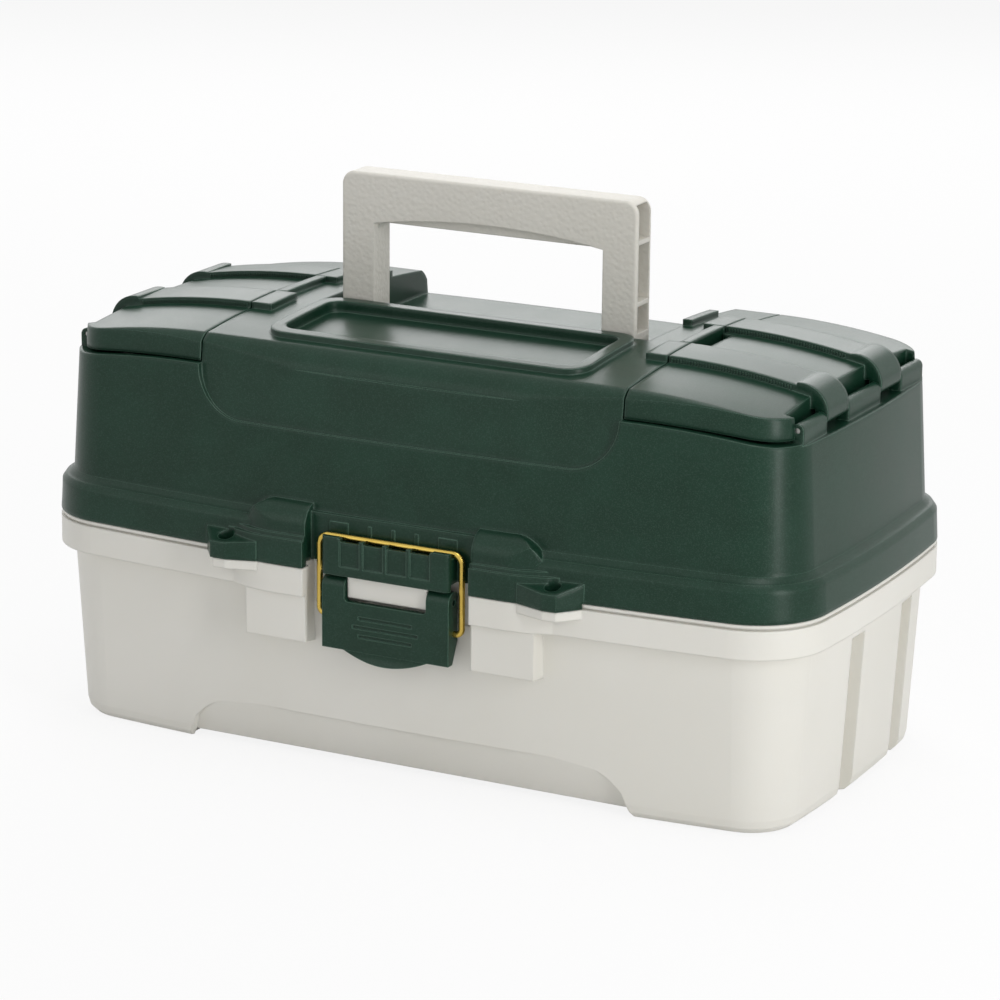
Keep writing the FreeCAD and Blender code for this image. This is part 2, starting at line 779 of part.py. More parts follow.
def seam_tool(name, height, drop):
    """Everything above the seam beside the deck, on both sides; the seam falls towards the ends."""
    gap = size("gap_line")
    far = size("notch_edge")
    sag = (far - gap) ** 2 / (2 * drop)
    mid = gap + (far - gap) / 2
    mid_drop = (mid - gap) ** 2 / (2 * sag)
    right = prism(name, [
        Part.Arc(in_front_plane(gap, height), in_front_plane(mid, height - mid_drop),
                 in_front_plane(far, height - drop)),
        Part.LineSegment(in_front_plane(far, height - drop), in_front_plane(wide, height - drop)),
        Part.LineSegment(in_front_plane(wide, height - drop), in_front_plane(wide, deck + deep)),
        Part.LineSegment(in_front_plane(wide, deck + deep), in_front_plane(gap, deck + deep)),
        Part.LineSegment(in_front_plane(gap, deck + deep), in_front_plane(gap, height)),
    ], Y_AXIS, -deep, 2 * deep)
    return right


def panel_tool(name):
    """The middle of the lid's front and back, where the wall leans in to the deck: a wide U."""
    gap = size("gap_line")
    radius = seam - size("panel_low")
    turn = gap - radius
    low = size("panel_low")
    left = in_front_plane(-gap, seam)
    right = in_front_plane(gap, seam)
    bend = radius * math.sin(HALF_CORNER)
    drop = radius * (1 - math.cos(HALF_CORNER))
    return prism(name, [
        Part.Arc(left, in_front_plane(-turn - bend, low + drop), in_front_plane(-turn, low)),
        Part.LineSegment(in_front_plane(-turn, low), in_front_plane(turn, low)),
        Part.Arc(in_front_plane(turn, low), in_front_plane(turn + bend, low + drop), right),
        Part.LineSegment(right, in_front_plane(gap, deck + deep)),
        Part.LineSegment(in_front_plane(gap, deck + deep), in_front_plane(-gap, deck + deep)),
        Part.LineSegment(in_front_plane(-gap, deck + deep), left),
    ], Y_AXIS, -deep, 2 * deep)


seam_right = seam_tool("SeamRight", seam, size("seam_end_drop"))
lid_band = fuse(
    "LidBand",
    drafted("LidSkirt", (size("lid_low"), 0), (size("skirt_top"), size("skirt_top_inset"))),
    drafted("LidBead", (size("skirt_top"), size("skirt_top_inset")), (size("bead_top"), size("bead_inset"))),
    drafted("LidShoulder", (size("bead_top"), size("bead_inset") + size("bead_step")),
            (size("shoulder_top"), size("wall_low_inset"))))
lid_wall = cut(
    "LidWall",
    drafted("LidWallBlank", (size("shoulder_top"), size("wall_low_inset")),
            (seam + over, at(seam + over, size("shoulder_top"), seam,
                             size("wall_low_inset"), size("wall_top_inset")))),
    *both("SeamLeft", seam_right), panel_tool("PanelTool"))
lid_core_blank = drafted(
    "LidCoreBlank", (size("shoulder_top"), size("wall_low_inset") + size("skirt_top_inset")),
    (size("panel_low"), size("panel_low_inset")), (seam, size("cover_inset")),
    (deck + over, at(deck + over, seam, deck, size("cover_inset"), size("cover_top_inset"))))
lid_core = common("LidCore", lid_core_blank, crown("DeckCrown", 0, -wide, 2 * wide))
seam_cores = both("SeamCoreLeft", seam_tool("SeamCore", seam, size("seam_end_drop")))
lid_core_side = cut("LidCoreSide", lid_core, *seam_cores)


def lid_dome(name):
    """A dome beside the latch: the skirt and the bead sweep round it, and a rounded cap stands on them."""
    band = size("dome_band")
    step = size("dome_step")
    shoulder = size("dome_shoulder")
    top = size("dome_top")
    root = -size("dome_root")
    front = -size("dome_front") + 2 * step
    far = size("dome_cap_far")
    cap = bulge(name + "Cap", 2 * step, shoulder, top)
    depth = size("dome_front") - 2 * step - rim_depth + size("wall_low_inset")
    cap_side = prism(name + "CapSide", [
        Part.LineSegment(in_side_plane(root, shoulder), in_side_plane(root, top)),
        Part.LineSegment(in_side_plane(root, top), in_side_plane(front + depth, top)),
        Part.Arc(in_side_plane(front + depth, top),
                 in_side_plane(front + depth * SWEEP_DROP_SHARE, top - (top - shoulder) * CAP_DROP_SHARE),
                 in_side_plane(front, shoulder + band)),
        Part.LineSegment(in_side_plane(front, shoulder + band), in_side_plane(front, shoulder)),
        Part.LineSegment(in_side_plane(front, shoulder), in_side_plane(root, shoulder)),
    ], X_AXIS, 0, rim_length)
    turn = size("dome_turn")
    cap_front = prism(name + "CapFront", [
        Part.LineSegment(in_front_plane(0, shoulder), in_front_plane(0, top)),
        Part.LineSegment(in_front_plane(0, top), in_front_plane(turn, top)),
        Part.Arc(in_front_plane(turn, top),
                 in_front_plane(turn + (far - turn) * CAP_SWEEP_SHARE, top - (top - shoulder) * SWEEP_DROP_SHARE),
                 in_front_plane(far, shoulder)),
        Part.LineSegment(in_front_plane(far, shoulder), in_front_plane(0, shoulder)),
    ], Y_AXIS, -deep - over, 2 * deep)
    return fuse(
        name, common(name + "Round", cap, cap_side, cap_front),
        bulge(name + "Bead", step, shoulder - band, shoulder),
        bulge(name + "Skirt", 0, size("dome_low"), shoulder - band))


lid_ear = ear("LidEar", 0, size("dome_low"), size("ear_top"), size("ear_tip_top"))

# Catch for the bail: a front plate over the parting line, a channel behind it, and ribs
catch_box = block(
    "CatchBox", ("0 - catch_half_length", "catch_half_length"),
    ("0 - catch_front", "0 - lid_keep_back"), ("catch_low", "catch_back_top"))
catch_blank = rounded(
    "CatchBlank", catch_box, "catch_corner",
    lambda edge: upright(edge) and edge.CenterOfMass.y < -size("lid_recess_back"))
catch_all = ("0 - catch_half_length - overrun", "catch_half_length + overrun")
catch_channel = block(
    "CatchChannel", catch_all,
    ("0 - catch_front + catch_lip", "0 - bail_pivot_place + bail_wire_radius + catch_channel_gap"),
    ("catch_rib_top", "catch_back_top + overrun"))
catch_front_top = block(
    "CatchFrontTop", catch_all, ("0 - catch_front - overrun", "0 - catch_front + catch_lip"),
    ("catch_lip_top", "catch_back_top + overrun"))
CATCH_CELLS = 4
rib_span = "2 * (catch_half_length - catch_end_width)"
catch_cells = [block(
    "CatchRibTops", ("0 - catch_half_length + catch_end_width", "catch_half_length - catch_end_width"),
    ("0 - catch_front - overrun", "0 - catch_front + catch_lip"), ("catch_rib_front_top", "catch_lip_top + overrun"))]
for number in range(CATCH_CELLS):
    low = f"0 - catch_half_length + catch_end_width + {number} * ({rib_span}) / {CATCH_CELLS}"
    reach = (low + " + catch_rib_width / 2", f"{low} + ({rib_span}) / {CATCH_CELLS} - catch_rib_width / 2")
    catch_cells.append(block(
        f"CatchCell{number}", reach, ("0 - catch_front + catch_lip", "0 - lid_recess_back"),
        ("catch_floor", "catch_back_top + overrun")))
    catch_cells.append(block(
        f"CatchPanel{number}", reach, ("0 - catch_front - overrun", "0 - catch_front + catch_panel_depth"),
        ("catch_low + catch_sill", "catch_back_top")))
    catch_cells.append(block(
        f"CatchPanelTop{number}", reach, ("0 - catch_front - overrun", "0 - catch_front + catch_lip"),
        ("catch_panel_top", "catch_back_top")))
catch_under = block(
    "CatchUnder", catch_all, ("0 - catch_front + wall", "0 - lid_keep_back + overrun"),
    ("catch_low - overrun", "lid_low"))
catch = cut("Catch", catch_blank, catch_channel, catch_front_top, catch_under, *catch_cells)
lid_recess = block(
    "LidRecess", ("0 - dome_near", "dome_near"), ("0 - dome_front - overrun", "0 - lid_recess_back"),
    ("lid_low - overrun", "shoulder_top"))
lid_cheek = block(
    "LidCheek", ("dome_near", "dome_near + wall"), ("0 - lid_recess_back - lid_cheek_reach", "0 - lid_keep_back"),
    ("lid_low", "shoulder_top"))
lid_keep = fuse(
    "LidKeep", block(
        "LidKeepBack", ("0 - dome_near - wall", "dome_near + wall"),
        ("0 - lid_recess_back - wall / 2", "0 - lid_keep_back"), ("lid_low", "shoulder_top + wall")),
    *both("LidCheekLeft", lid_cheek))
over_rim = drafted(
    "OverRim", (size("dome_low") - over, -size("tab_gap")), (size("lid_low"), -size("tab_gap")))

lid_knuckle = fuse(
    "LidKnuckle",
    rod("LidKnuckleRod", "x", ("hinge_place", "hinge_height"),
        ("hinge_middle - hinge_knuckle_half", "hinge_middle + hinge_knuckle_half"), "hinge_radius"),
    block("LidKnuckleWeb", ("hinge_middle - hinge_knuckle_half", "hinge_middle + hinge_knuckle_half"),
          ("rim_half_depth - wall - hinge_radius", "hinge_place"), ("lid_low", "hinge_height + hinge_radius")))

# Deck: pocket rim, blocks that carry on the lids' strips, and ridges beside the well
pocket_x = ("0 - pocket_half_length", "pocket_half_length")


rim_outer = rounded_block(
    "RimOuter", pocket_x, ("0 - pocket_front", "0 - pocket_back"), ("bin_floor", "deck_height + overrun"),
    "pocket_corner")
rim_crown = crown("RimCrown", -size("pocket_rim_rise"), -wide, 2 * wide)
deck_rim = common("DeckRim", rim_outer, rim_crown)
pocket_cut = cut(
    "PocketCut",
    rounded_block(
        "PocketInner", ("0 - pocket_half_length + pocket_rim_width", "pocket_half_length - pocket_rim_width"),
        ("0 - pocket_front + pocket_rim_width", "0 - pocket_back - pocket_rim_width"),
        ("bin_floor", "deck_height + 2 * overrun"), "deck_round"),
    crown("PocketFloorCrown", size("pocket_depth"), -wide, 2 * wide))
strip_crown = crown("StripCrown", -size("strip_rise"), -wide, 2 * wide)
deck_blocks = []
for sign in (-1, 1):
    y = (("0 - strip_far", "0 - strip_near") if sign < 0 else ("strip_near", "strip_far"))
    deck_blocks.append(block(
        f"DeckBlock{sign + 1}", ("deck_block_inner", "gap_line"), y, ("seam_height", "deck_height + overrun")))
deck_blocks.append(block(
    "SnapBar", ("snap_bar_near", "gap_line"), ("0 - snap_bar_half", "snap_bar_half"),
    ("seam_height", "deck_height + overrun")))
deck_blocks.append(block(
    "WellRidge", ("well_half_length", "well_half_length + well_ridge_width"),
    ("well_ridge_near", "well_ridge_far"), ("seam_height", "deck_height + overrun")))
deck_raised = common("DeckRaised", fuse("DeckBlocks", *deck_blocks), strip_crown)
well = block(
    "Well", ("0 - well_half_length", "well_half_length"), ("0 - well_front", "rim_half_depth + overrun"),
    ("well_floor", "deck_height + 2 * overrun"))

# Hinge blocks for the access lids, on the ledge at each end
ledge = block(
    "Ledge", ("notch_edge - knuckle_gap / 2", "rim_half_length + overrun"), ("0 - notch_far", "notch_far"),
    ("ledge_height", "deck_height + overrun"))
block_reaches = [
    ("0 - notch_far + knuckle_gap", "0 - strip_far - knuckle_gap"),
    ("0 - strip_near + knuckle_gap", "strip_near - knuckle_gap"),
    ("strip_far + knuckle_gap", "notch_far - knuckle_gap"),
]
hinge_blocks = []
for number, reach in enumerate(block_reaches):
    hinge_blocks.append(rod(
        f"HingeBlockTop{number}", "y", ("access_hinge_place", "access_hinge_height"), reach,
        "access_knuckle_radius"))
    hinge_blocks.append(block(
        f"HingeBlock{number}",
        ("access_hinge_place - access_knuckle_radius", "access_hinge_place + access_knuckle_radius"), reach,
        ("ledge_height - wall", "access_hinge_height")))
access_hole = rod(
    "AccessHole", "y", ("access_hinge_place", "access_hinge_height"), ("0 - notch_far", "notch_far"),
    "access_pin_radius")

# Inside of the lid: hollow under the deck, the two bins let in from above
lid_wall_size = size("lid_wall")
cavity_low = size("lid_low") - over
shoulder_inside = size("skirt_top") - lid_wall_size / 2
bin_under = size("bin_floor") - size("bin_floor_thickness")
end_hollow_top = size("ledge_height") - size("wall")
lid_cavity = fuse(
    "LidCavity",
    drafted("LidCavitySkirt", (cavity_low, lid_wall_size + size("skirt_top_inset")),
            (shoulder_inside, lid_wall_size + size("skirt_top_inset"))),
    drafted("LidCavityWall", (shoulder_inside, size("wall_low_inset") + lid_wall_size),
            (end_hollow_top, at(end_hollow_top, size("shoulder_top"), seam,
                                size("wall_low_inset"), size("wall_top_inset")) + lid_wall_size)))
bin_body = block(
    "BinBody", ("gap_line - lid_wall", "bin_far + lid_wall"), ("0 - rim_half_depth", "rim_half_depth"),
    ("bin_floor - bin_floor_thickness", "deck_height"))
side_hollow = cut("SideHollow", lid_cavity, *both("BinBodyLeft", bin_body), block(
    "MiddleKeep", ("0 - gap_line", "gap_line"), ("0 - rim_half_depth", "rim_half_depth"),
    ("bin_floor - bin_floor_thickness", "deck_height")))
deck_hollow = cut(
    "DeckHollow",
    common(
        "DeckHollowBlank",
        block("DeckHollowBlock", ("0 - gap_line + lid_wall", "gap_line - lid_wall"),
              ("0 - rim_half_depth", "rim_half_depth"), ("bin_floor - bin_floor_thickness - overrun", "deck_height")),
        drafted("DeckHollowPlan", (bin_under - 2 * over, size("panel_low_inset") + lid_wall_size),
                (size("panel_low"), size("panel_low_inset") + lid_wall_size),
                (seam, size("cover_inset") + lid_wall_size),
                (deck, size("cover_top_inset") + lid_wall_size)),
        crown("DeckHollowCrown", size("pocket_depth") + lid_wall_size, -wide, 2 * wide)),
    block("WellKeep", ("0 - well_half_length - lid_wall", "well_half_length + lid_wall"),
          ("0 - well_front - lid_wall", "rim_half_depth"), ("well_floor - lid_wall", "deck_height")))
bin_space = common(
    "BinSpace",
    block("BinBlock", ("gap_line", "bin_far"), ("0 - rim_half_depth", "rim_half_depth"),
          ("bin_floor", "deck_height + overrun")),
    drafted("BinPlan", (bin_under, size("bin_inset")), (seam, size("bin_top_inset")),
            (deck + 2 * over, size("bin_top_inset"))))
link_boss = common(
    "LinkBoss",
    rod("LinkBossRod", "x", ("link_lid_place", "link_lid_height"),
        ("link_near + link_thickness + knuckle_gap", "rim_half_length"), "link_boss_radius"),
    drafted("LinkBossPlan", (size("lid_low"), lid_wall_size / 2), (size("skirt_top"), lid_wall_size / 2)))
lid_right = fuse(
    "LidRight", lid_dome("LidDome"), lid_ear, lid_knuckle, deck_raised)
lid_blank = fuse("LidBlank", lid_band, lid_wall, lid_core_side, deck_rim, *both("LidLeft", lid_right))
cavity_under = block(
    "CavityUnder", ("0 - dome_near - 2 * wall", "dome_near + 2 * wall"), ("0 - lid_keep_back", "0 - dome_root"),
    ("catch_low - overrun", "shoulder_top"))
lid_open = cut(
    "LidOpen", lid_blank, side_hollow, deck_hollow, well, pocket_cut, over_rim,
    *both("BinLeft", bin_space), *both("LedgeLeft", ledge), lid_recess)
lid_ends = fuse("LidEnds", link_boss, *hinge_blocks)
lid_front = cut("LidFront", fuse("LidFrontBlank", lid_keep, catch), cavity_under)
link_stud_hole = rod(
    "LinkStudHole", "x", ("link_lid_place", "link_lid_height"), ("link_near", "link_near + post_radius + overrun"),
    "arm_pin_radius")
handle_pin_hole = rod(
    "HandlePinHole", "x", ("handle_middle", "handle_pivot_height"),
    ("well_half_length", "well_half_length + lid_wall"), "handle_pin_radius")
lid_bores = fuse("LidBores", hinge_hole, ear_hole, access_hole, link_stud_hole, handle_pin_hole)
lid_moulding = fuse("LidMoulding", lid_open, lid_front, *both("LidEndsLeft", lid_ends))
lid = node("lid_shell", cut("Lid", lid_moulding, *both("LidBoresLeft", lid_bores)))


# Access lid: crowned cover with two raised strips that curl down over the hinge
def cover_crown(name, drop):
    """The deck's cross section turned about a far axis, so the cover falls towards its end."""
    profile = crown(name + "Section", drop, size("gap_line"), over)
    radius = size("cover_crown_radius")
    centre = FreeCAD.Vector(size("gap_line"), 0, deck - radius)
    angle = math.degrees(math.asin((wide - size("gap_line")) / (radius - deck + size("skirt_top"))))
    section = min(profile.Shape.Faces, key=lambda face: face.CenterOfMass.x)
    turned = section.revolve(centre, Y_AXIS, angle)
    return solid(name, turned)


def cover_height(x, raise_by):
    """The cover's top in its middle at a place along the box."""
    radius = size("cover_crown_radius")
    return deck - radius + math.sqrt(radius ** 2 - (x - size("gap_line")) ** 2) + raise_by


def strip_tongue(name, low, high):
    """The end of a strip: it turns down over the hinge pin and ends round it."""
    hinge = in_front_plane(size("access_hinge_place"), size("access_hinge_height"))
    radius = size("access_knuckle_radius")
    outer = hinge.x + radius
    inner = hinge.x - radius
    start = size("strip_end")
    top = cover_height(start, size("strip_rise"))
    bend = outer - start
    shoulder = top - bend * CAP_SWEEP_SHARE
    thick = size("cover_wall")
    bent = in_front_plane(start + bend * CAP_SWEEP_SHARE, top - bend * TONGUE_DROP_SHARE)
    return prism(name, [
        Part.Arc(in_front_plane(start, top), bent, in_front_plane(outer, shoulder)),
        Part.LineSegment(in_front_plane(outer, shoulder), in_front_plane(outer, hinge.z)),
        Part.Arc(in_front_plane(outer, hinge.z), in_front_plane(hinge.x, hinge.z - radius),
                 in_front_plane(inner, hinge.z)),
        Part.LineSegment(in_front_plane(inner, hinge.z), in_front_plane(inner, shoulder)),
        Part.LineSegment(in_front_plane(inner, shoulder), in_front_plane(start, shoulder)),
        Part.LineSegment(in_front_plane(start, shoulder), in_front_plane(start, top)),
    ], Y_AXIS, low, high - low)


cover_near = "gap_line + cover_gap"
across_lid = ("0 - rim_half_depth", "rim_half_depth")
above_seam = ("seam_height - 2 * overrun", "deck_height + 2 * overrun")
end_near = size("cover_end_near")
end_far = size("cover_end_far")
end_low = size("cover_end_low")
end_top = cover_height(end_near, size("seam_gap"))
bulge_out = size("cover_end_bulge")
cover_end = prism("CoverEnd", [
    Part.Arc(in_front_plane(end_near, end_top),
             in_front_plane((end_near + end_far) / 2 + bulge_out, (end_top + end_low) / 2 + bulge_out),
             in_front_plane(end_far, end_low)),
    Part.LineSegment(in_front_plane(end_far, end_low), in_front_plane(end_far, seam - 3 * over)),
    Part.LineSegment(in_front_plane(end_far, seam - 3 * over), in_front_plane(0, seam - 3 * over)),
    Part.LineSegment(in_front_plane(0, seam - 3 * over), in_front_plane(0, deck + deep)),
    Part.LineSegment(in_front_plane(0, deck + deep), in_front_plane(end_near, deck + deep)),
    Part.LineSegment(in_front_plane(end_near, deck + deep), in_front_plane(end_near, end_top)),
], Y_AXIS, -deep, 2 * deep)
cover_body = common(
    "CoverBody", block("CoverSide", (cover_near, "rim_half_length"), across_lid, above_seam),
    drafted("CoverSkirt", (seam - 2 * over, size("cover_inset")), (seam, size("cover_inset")),
            (deck + 2 * over, size("cover_top_inset"))),
    seam_tool("CoverSeam", seam + size("seam_gap"), size("cover_low_drop")), cover_crown("CoverCrown", 0), cover_end)
strips = []
for sign in (-1, 1):
    y = (("0 - strip_far", "0 - strip_near") if sign < 0 else ("strip_near", "strip_far"))
    strips.append(block(f"Strip{sign + 1}", (cover_near, "strip_end"), y, above_seam))
raised_strips = common("RaisedStrips", fuse("StripBlocks", *strips), cover_crown("StripsCrown", -size("strip_rise")))
cover_wall_size = size("cover_wall")
cover_hollow = common(
    "CoverHollow",
    cut("CoverHollowReach",
        block("CoverHollowSide", (cover_near + " + cover_wall", "rim_half_length"), across_lid, above_seam),
        block("CoverHollowEnd", ("notch_edge - cover_wall", "rim_half_length"),
              ("0 - notch_far - cover_wall", "notch_far + cover_wall"), above_seam)),
    drafted("CoverHollowPlan", (seam - 2 * over, size("cover_inset") + cover_wall_size),
            (seam, size("cover_inset") + cover_wall_size),
            (deck + 2 * over, size("cover_top_inset") + cover_wall_size)),
    cover_crown("CoverHollowCrown", cover_wall_size))
notch = block(
    "Notch", ("notch_edge", "rim_half_length"), ("0 - notch_far", "notch_far"), above_seam)
snap_slot = block(
    "SnapSlot", ("gap_line", "snap_slot_far"), ("0 - snap_half_length", "snap_half_length"),
    ("deck_height - overrun", "deck_height + overrun"))
tongues = [
    strip_tongue("TongueFront", -size("strip_far"), -size("strip_near")),
    strip_tongue("TongueRear", size("strip_near"), size("strip_far")),
]
cover_bore = rod(
    "CoverBore", "y", ("access_hinge_place", "access_hinge_height"), ("0 - notch_far", "notch_far"),
    "access_pin_radius + arm_pin_gap")
cover_blank = fuse("CoverBlank", cover_body, raised_strips)
cover_shell = cut("CoverShell", cover_blank, cover_hollow, notch, snap_slot)
cover_right = cut("CoverRight", fuse("CoverParts", cover_shell, *tongues), cover_bore)
node("access_lid_right", cover_right)
node("access_lid_left", mirrored("CoverLeft", cover_right))
pin_right = rod(
    "AccessPin", "y", ("access_hinge_place", "access_hinge_height"),
    ("0 - notch_far + 2 * knuckle_gap", "notch_far - 2 * knuckle_gap"), "access_pin_radius")
node("access_hinge_pin_right", pin_right)
node("access_hinge_pin_left", mirrored("AccessPinLeft", pin_right))
hinge_pin = rod(
    "HingePin", "x", ("hinge_place", "hinge_height"),
    ("hinge_middle - hinge_half_length", "hinge_middle + hinge_half_length"), "hinge_pin_radius")
node("rear_hinge_pins", fuse("RearHingePins", *both("HingePinLeft", hinge_pin)))


# Handle: a grip on two legs, hollow at its outer ends with cross webs, hung on two pins
handle_y = ("0 - handle_half_thickness", "handle_half_thickness")
handle_box = block(
    "HandleBox", ("0 - handle_half_length", "handle_half_length"), handle_y, ("handle_pivot_height", "handle_top"))
handle_corners = rounded(
    "HandleCorners", handle_box, "handle_corner",
    lambda edge: across(edge) and edge.CenterOfMass.z > size("handle_window_top"))
handle_blank = rounded(
    "HandleBlankTop", handle_corners, "handle_edge_round",
    lambda edge: not across(edge) and edge.CenterOfMass.z > size("handle_pivot_height") + over)
handle_foot = rod(
    "HandleFoot", "x", ("0", "handle_pivot_height"), ("0 - handle_half_length", "handle_half_length"),
    "handle_pivot_radius")
window_y = ("0 - handle_half_thickness - overrun", "handle_half_thickness + overrun")
handle_window = rounded(
    "HandleWindow", block("HandleWindowBox", ("0 - handle_window_half", "handle_window_half"), window_y,
                          ("handle_pivot_height - 2 * handle_pivot_radius", "handle_window_top")),
    "handle_inner_corner", lambda edge: across(edge) and edge.CenterOfMass.z > size("handle_pivot_height"))
arch_radius = "((handle_window_half ^ 2 + handle_arch_rise ^ 2) / (2 * handle_arch_rise))"
arch_middle = ("0", f"handle_window_top + handle_arch_rise - {arch_radius}")
handle_arches = [
    rod(f"HandleArch{number}", "y", arch_middle, reach, arch_radius)
    for number, reach in enumerate((
        ("0 - handle_half_thickness - overrun", "0 - handle_half_thickness + handle_arch_depth"),
        ("handle_half_thickness - handle_arch_depth", "handle_half_thickness + overrun")))]
handle_arch_reach = block(
    "HandleArchReach", ("0 - handle_window_half", "handle_window_half"), window_y,
    ("handle_pivot_height", "handle_window_top + handle_arch_rise"))
handle_arch_cut = common("HandleArchCut", fuse("HandleArches", *handle_arches), handle_arch_reach)
handle_cells = []
cell_x = ("handle_half_length - handle_cell_depth", "handle_half_length + overrun")
cell_y = ("0 - handle_half_thickness + handle_cell_wall", "handle_half_thickness - handle_cell_wall")
cell_edges = ["handle_pivot_height + handle_pivot_radius + handle_cell_wall", "handle_web_low", "handle_web_high",
              "handle_top - handle_cell_wall"]
for number, (low, high) in enumerate(zip(cell_edges, cell_edges[1:])):
    handle_cells.append(block(
        f"HandleCell{number}", cell_x, cell_y, (low + (" + handle_web" if number else ""), high)))
handle_shape = cut(
    "HandleShape", fuse("HandleBlank", handle_blank, handle_foot), handle_window, handle_arch_cut,
    *both("HandleCellsLeft", fuse("HandleCells", *handle_cells)))
handle_bore = rod(
    "HandleBore", "x", ("0", "handle_pivot_height"),
    ("handle_half_length - handle_pin_reach", "handle_half_length + overrun"), "handle_pin_radius + arm_pin_gap")
handle = cut("Handle", handle_shape, *both("HandleBoreLeft", handle_bore))
handle.setExpression("Placement.Base.y", cell("handle_middle"))
node("carry_handle", handle)
handle_pin = rod(
    "HandlePin", "x", ("handle_middle", "handle_pivot_height"),
    ("handle_half_length - handle_pin_reach", "well_half_length + lid_wall"), "handle_pin_radius")
node("handle_pins", fuse("HandlePins", *both("HandlePinLeft", handle_pin)))


# Latch: the lever hangs on a pin through the tub's boss, and carries the wire bail
pin_y = -size("latch_pin_place")
pin_z = size("latch_pin_height")
top_radius = size("lever_top_radius")
lever_half = size("lever_half_length")
lever_back = -size("lever_back")
lever_low = size("lever_low")
slant = (size("lever_front") - size("latch_pin_place")) / 2
# where the lever's round top passes into its straight back, as shares of the radius
back_shares = (0.62, 0.7846)
back_top = in_side_plane(pin_y + top_radius * back_shares[0], pin_z + top_radius * back_shares[1])
tab_wall = size("lever_tab_wall")
tab_out = size("lever_tab_rise")
tab_low = size("lever_tab_low")
tab_face = pin_y - top_radius
tab_start = lever_low + tab_wall
tab_mid = tab_low + tab_wall
lever_side = prism("LeverSide", [
    Part.Arc(in_side_plane(pin_y - top_radius, pin_z), in_side_plane(pin_y, pin_z + top_radius), back_top),
    Part.LineSegment(back_top, in_side_plane(lever_back, lever_low + slant * 4)),
    Part.LineSegment(in_side_plane(lever_back, lever_low + slant * 4), in_side_plane(pin_y - slant / 2, lever_low)),
    Part.LineSegment(in_side_plane(pin_y - slant / 2, lever_low), in_side_plane(tab_face, lever_low)),
    Part.LineSegment(in_side_plane(tab_face, lever_low), in_side_plane(pin_y - top_radius, pin_z)),
], X_AXIS, -lever_half, 2 * lever_half)
tab_slab = prism("LeverTabSlab", [
    Part.Arc(in_side_plane(tab_face + tab_wall, tab_start),
             in_side_plane(tab_face + tab_wall - tab_out / 4, tab_mid),
             in_side_plane(tab_face + tab_wall - tab_out, tab_low)),
    Part.LineSegment(in_side_plane(tab_face + tab_wall - tab_out, tab_low),
                     in_side_plane(tab_face - tab_out, tab_low)),
    Part.Arc(in_side_plane(tab_face - tab_out, tab_low), in_side_plane(tab_face - tab_out / 4, tab_mid),
             in_side_plane(tab_face, tab_start)),
    Part.LineSegment(in_side_plane(tab_face, tab_start), in_side_plane(tab_face + tab_wall, tab_start)),
], X_AXIS, -size("lever_tab_half"), 2 * size("lever_tab_half"))
tab_disc = rod("LeverTabDisc", "y", ("0", "lever_tab_low + lever_tab_radius"),
               ("0 - dome_front - 2 * overrun", "0 - dome_root"), "lever_tab_radius")
lever_tab = common("LeverTab", tab_slab, tab_disc)
lever_hollow = block(
    "LeverHollow", ("0 - lever_half_length + lever_side_wall", "lever_half_length - lever_side_wall"),
    ("0 - lever_front + lever_face_wall", "0 - lever_back + overrun"),
    ("lever_low + lever_side_wall", "latch_pin_height + 2 * lever_top_radius"))
lever_window = rounded(
    "LeverWindow", block(
        "LeverWindowBox", ("0 - lever_window_half", "lever_window_half"),
        ("0 - lever_front - overrun", "0 - lever_back + overrun"),
        ("lever_window_low", "latch_pin_height + 2 * lever_top_radius")),
    "lever_round", lambda edge: across(edge) and edge.CenterOfMass.z < pin_z)
lever_columns = []
for sign in (-1, 1):
    reach = ("0 - lever_half_length", "0 - lever_window_half") if sign < 0 else (
        "lever_window_half", "lever_half_length")
    lever_columns.append(rod(
        f"LeverColumn{sign + 1}", "x", ("0 - latch_pin_place", "latch_pin_height"), reach, "lever_top_radius"))
lever_column_reach = block(
    "LeverColumnReach", ("0 - lever_half_length", "lever_half_length"),
    ("0 - rim_half_depth - 2 * overrun", "0 - lever_back"), ("lever_low", "latch_pin_height + 2 * lever_top_radius"))
lever_columns_cut = common("LeverColumnsCut", fuse("LeverColumns", *lever_columns), lever_column_reach)
lever_bars = []
for number in range(3):
    half = "lever_bar_long" if number == 1 else "lever_bar_half"
    low = f"lever_bar_low + {number} * lever_bar_pitch"
    lever_bars.append(block(
        f"LeverBar{number}", ("0 - " + half, half),
        ("0 - lever_front - overrun", "0 - lever_front + lever_bar_depth"), (low, low + " + lever_bar_height")))
lever_holes = [
    rod("LeverPinHole", "x", ("0 - latch_pin_place", "latch_pin_height"),
        ("0 - lever_half_length - overrun", "lever_half_length + overrun"), "latch_pin_radius + arm_pin_gap"),
    rod("LeverWireHole", "x", ("0 - bail_pivot_place", "bail_pivot_height"),
        ("0 - lever_half_length - overrun", "lever_half_length + overrun"), "bail_wire_radius + arm_pin_gap"),
]
lever_shell = cut("LeverShell", lever_side, lever_hollow)
lever_body = cut("LeverBody", fuse("LeverJoined", lever_shell, lever_columns_cut), lever_window, *lever_bars)
node("latch_lever", cut("Lever", fuse("LeverWithTab", lever_body, lever_tab), *lever_holes))
node("latch_pin", rod(
    "LatchPin", "x", ("0 - latch_pin_place", "latch_pin_height"),
    ("0 - lever_half_length + lever_side_wall / 2", "lever_half_length - lever_side_wall / 2"), "latch_pin_radius"))


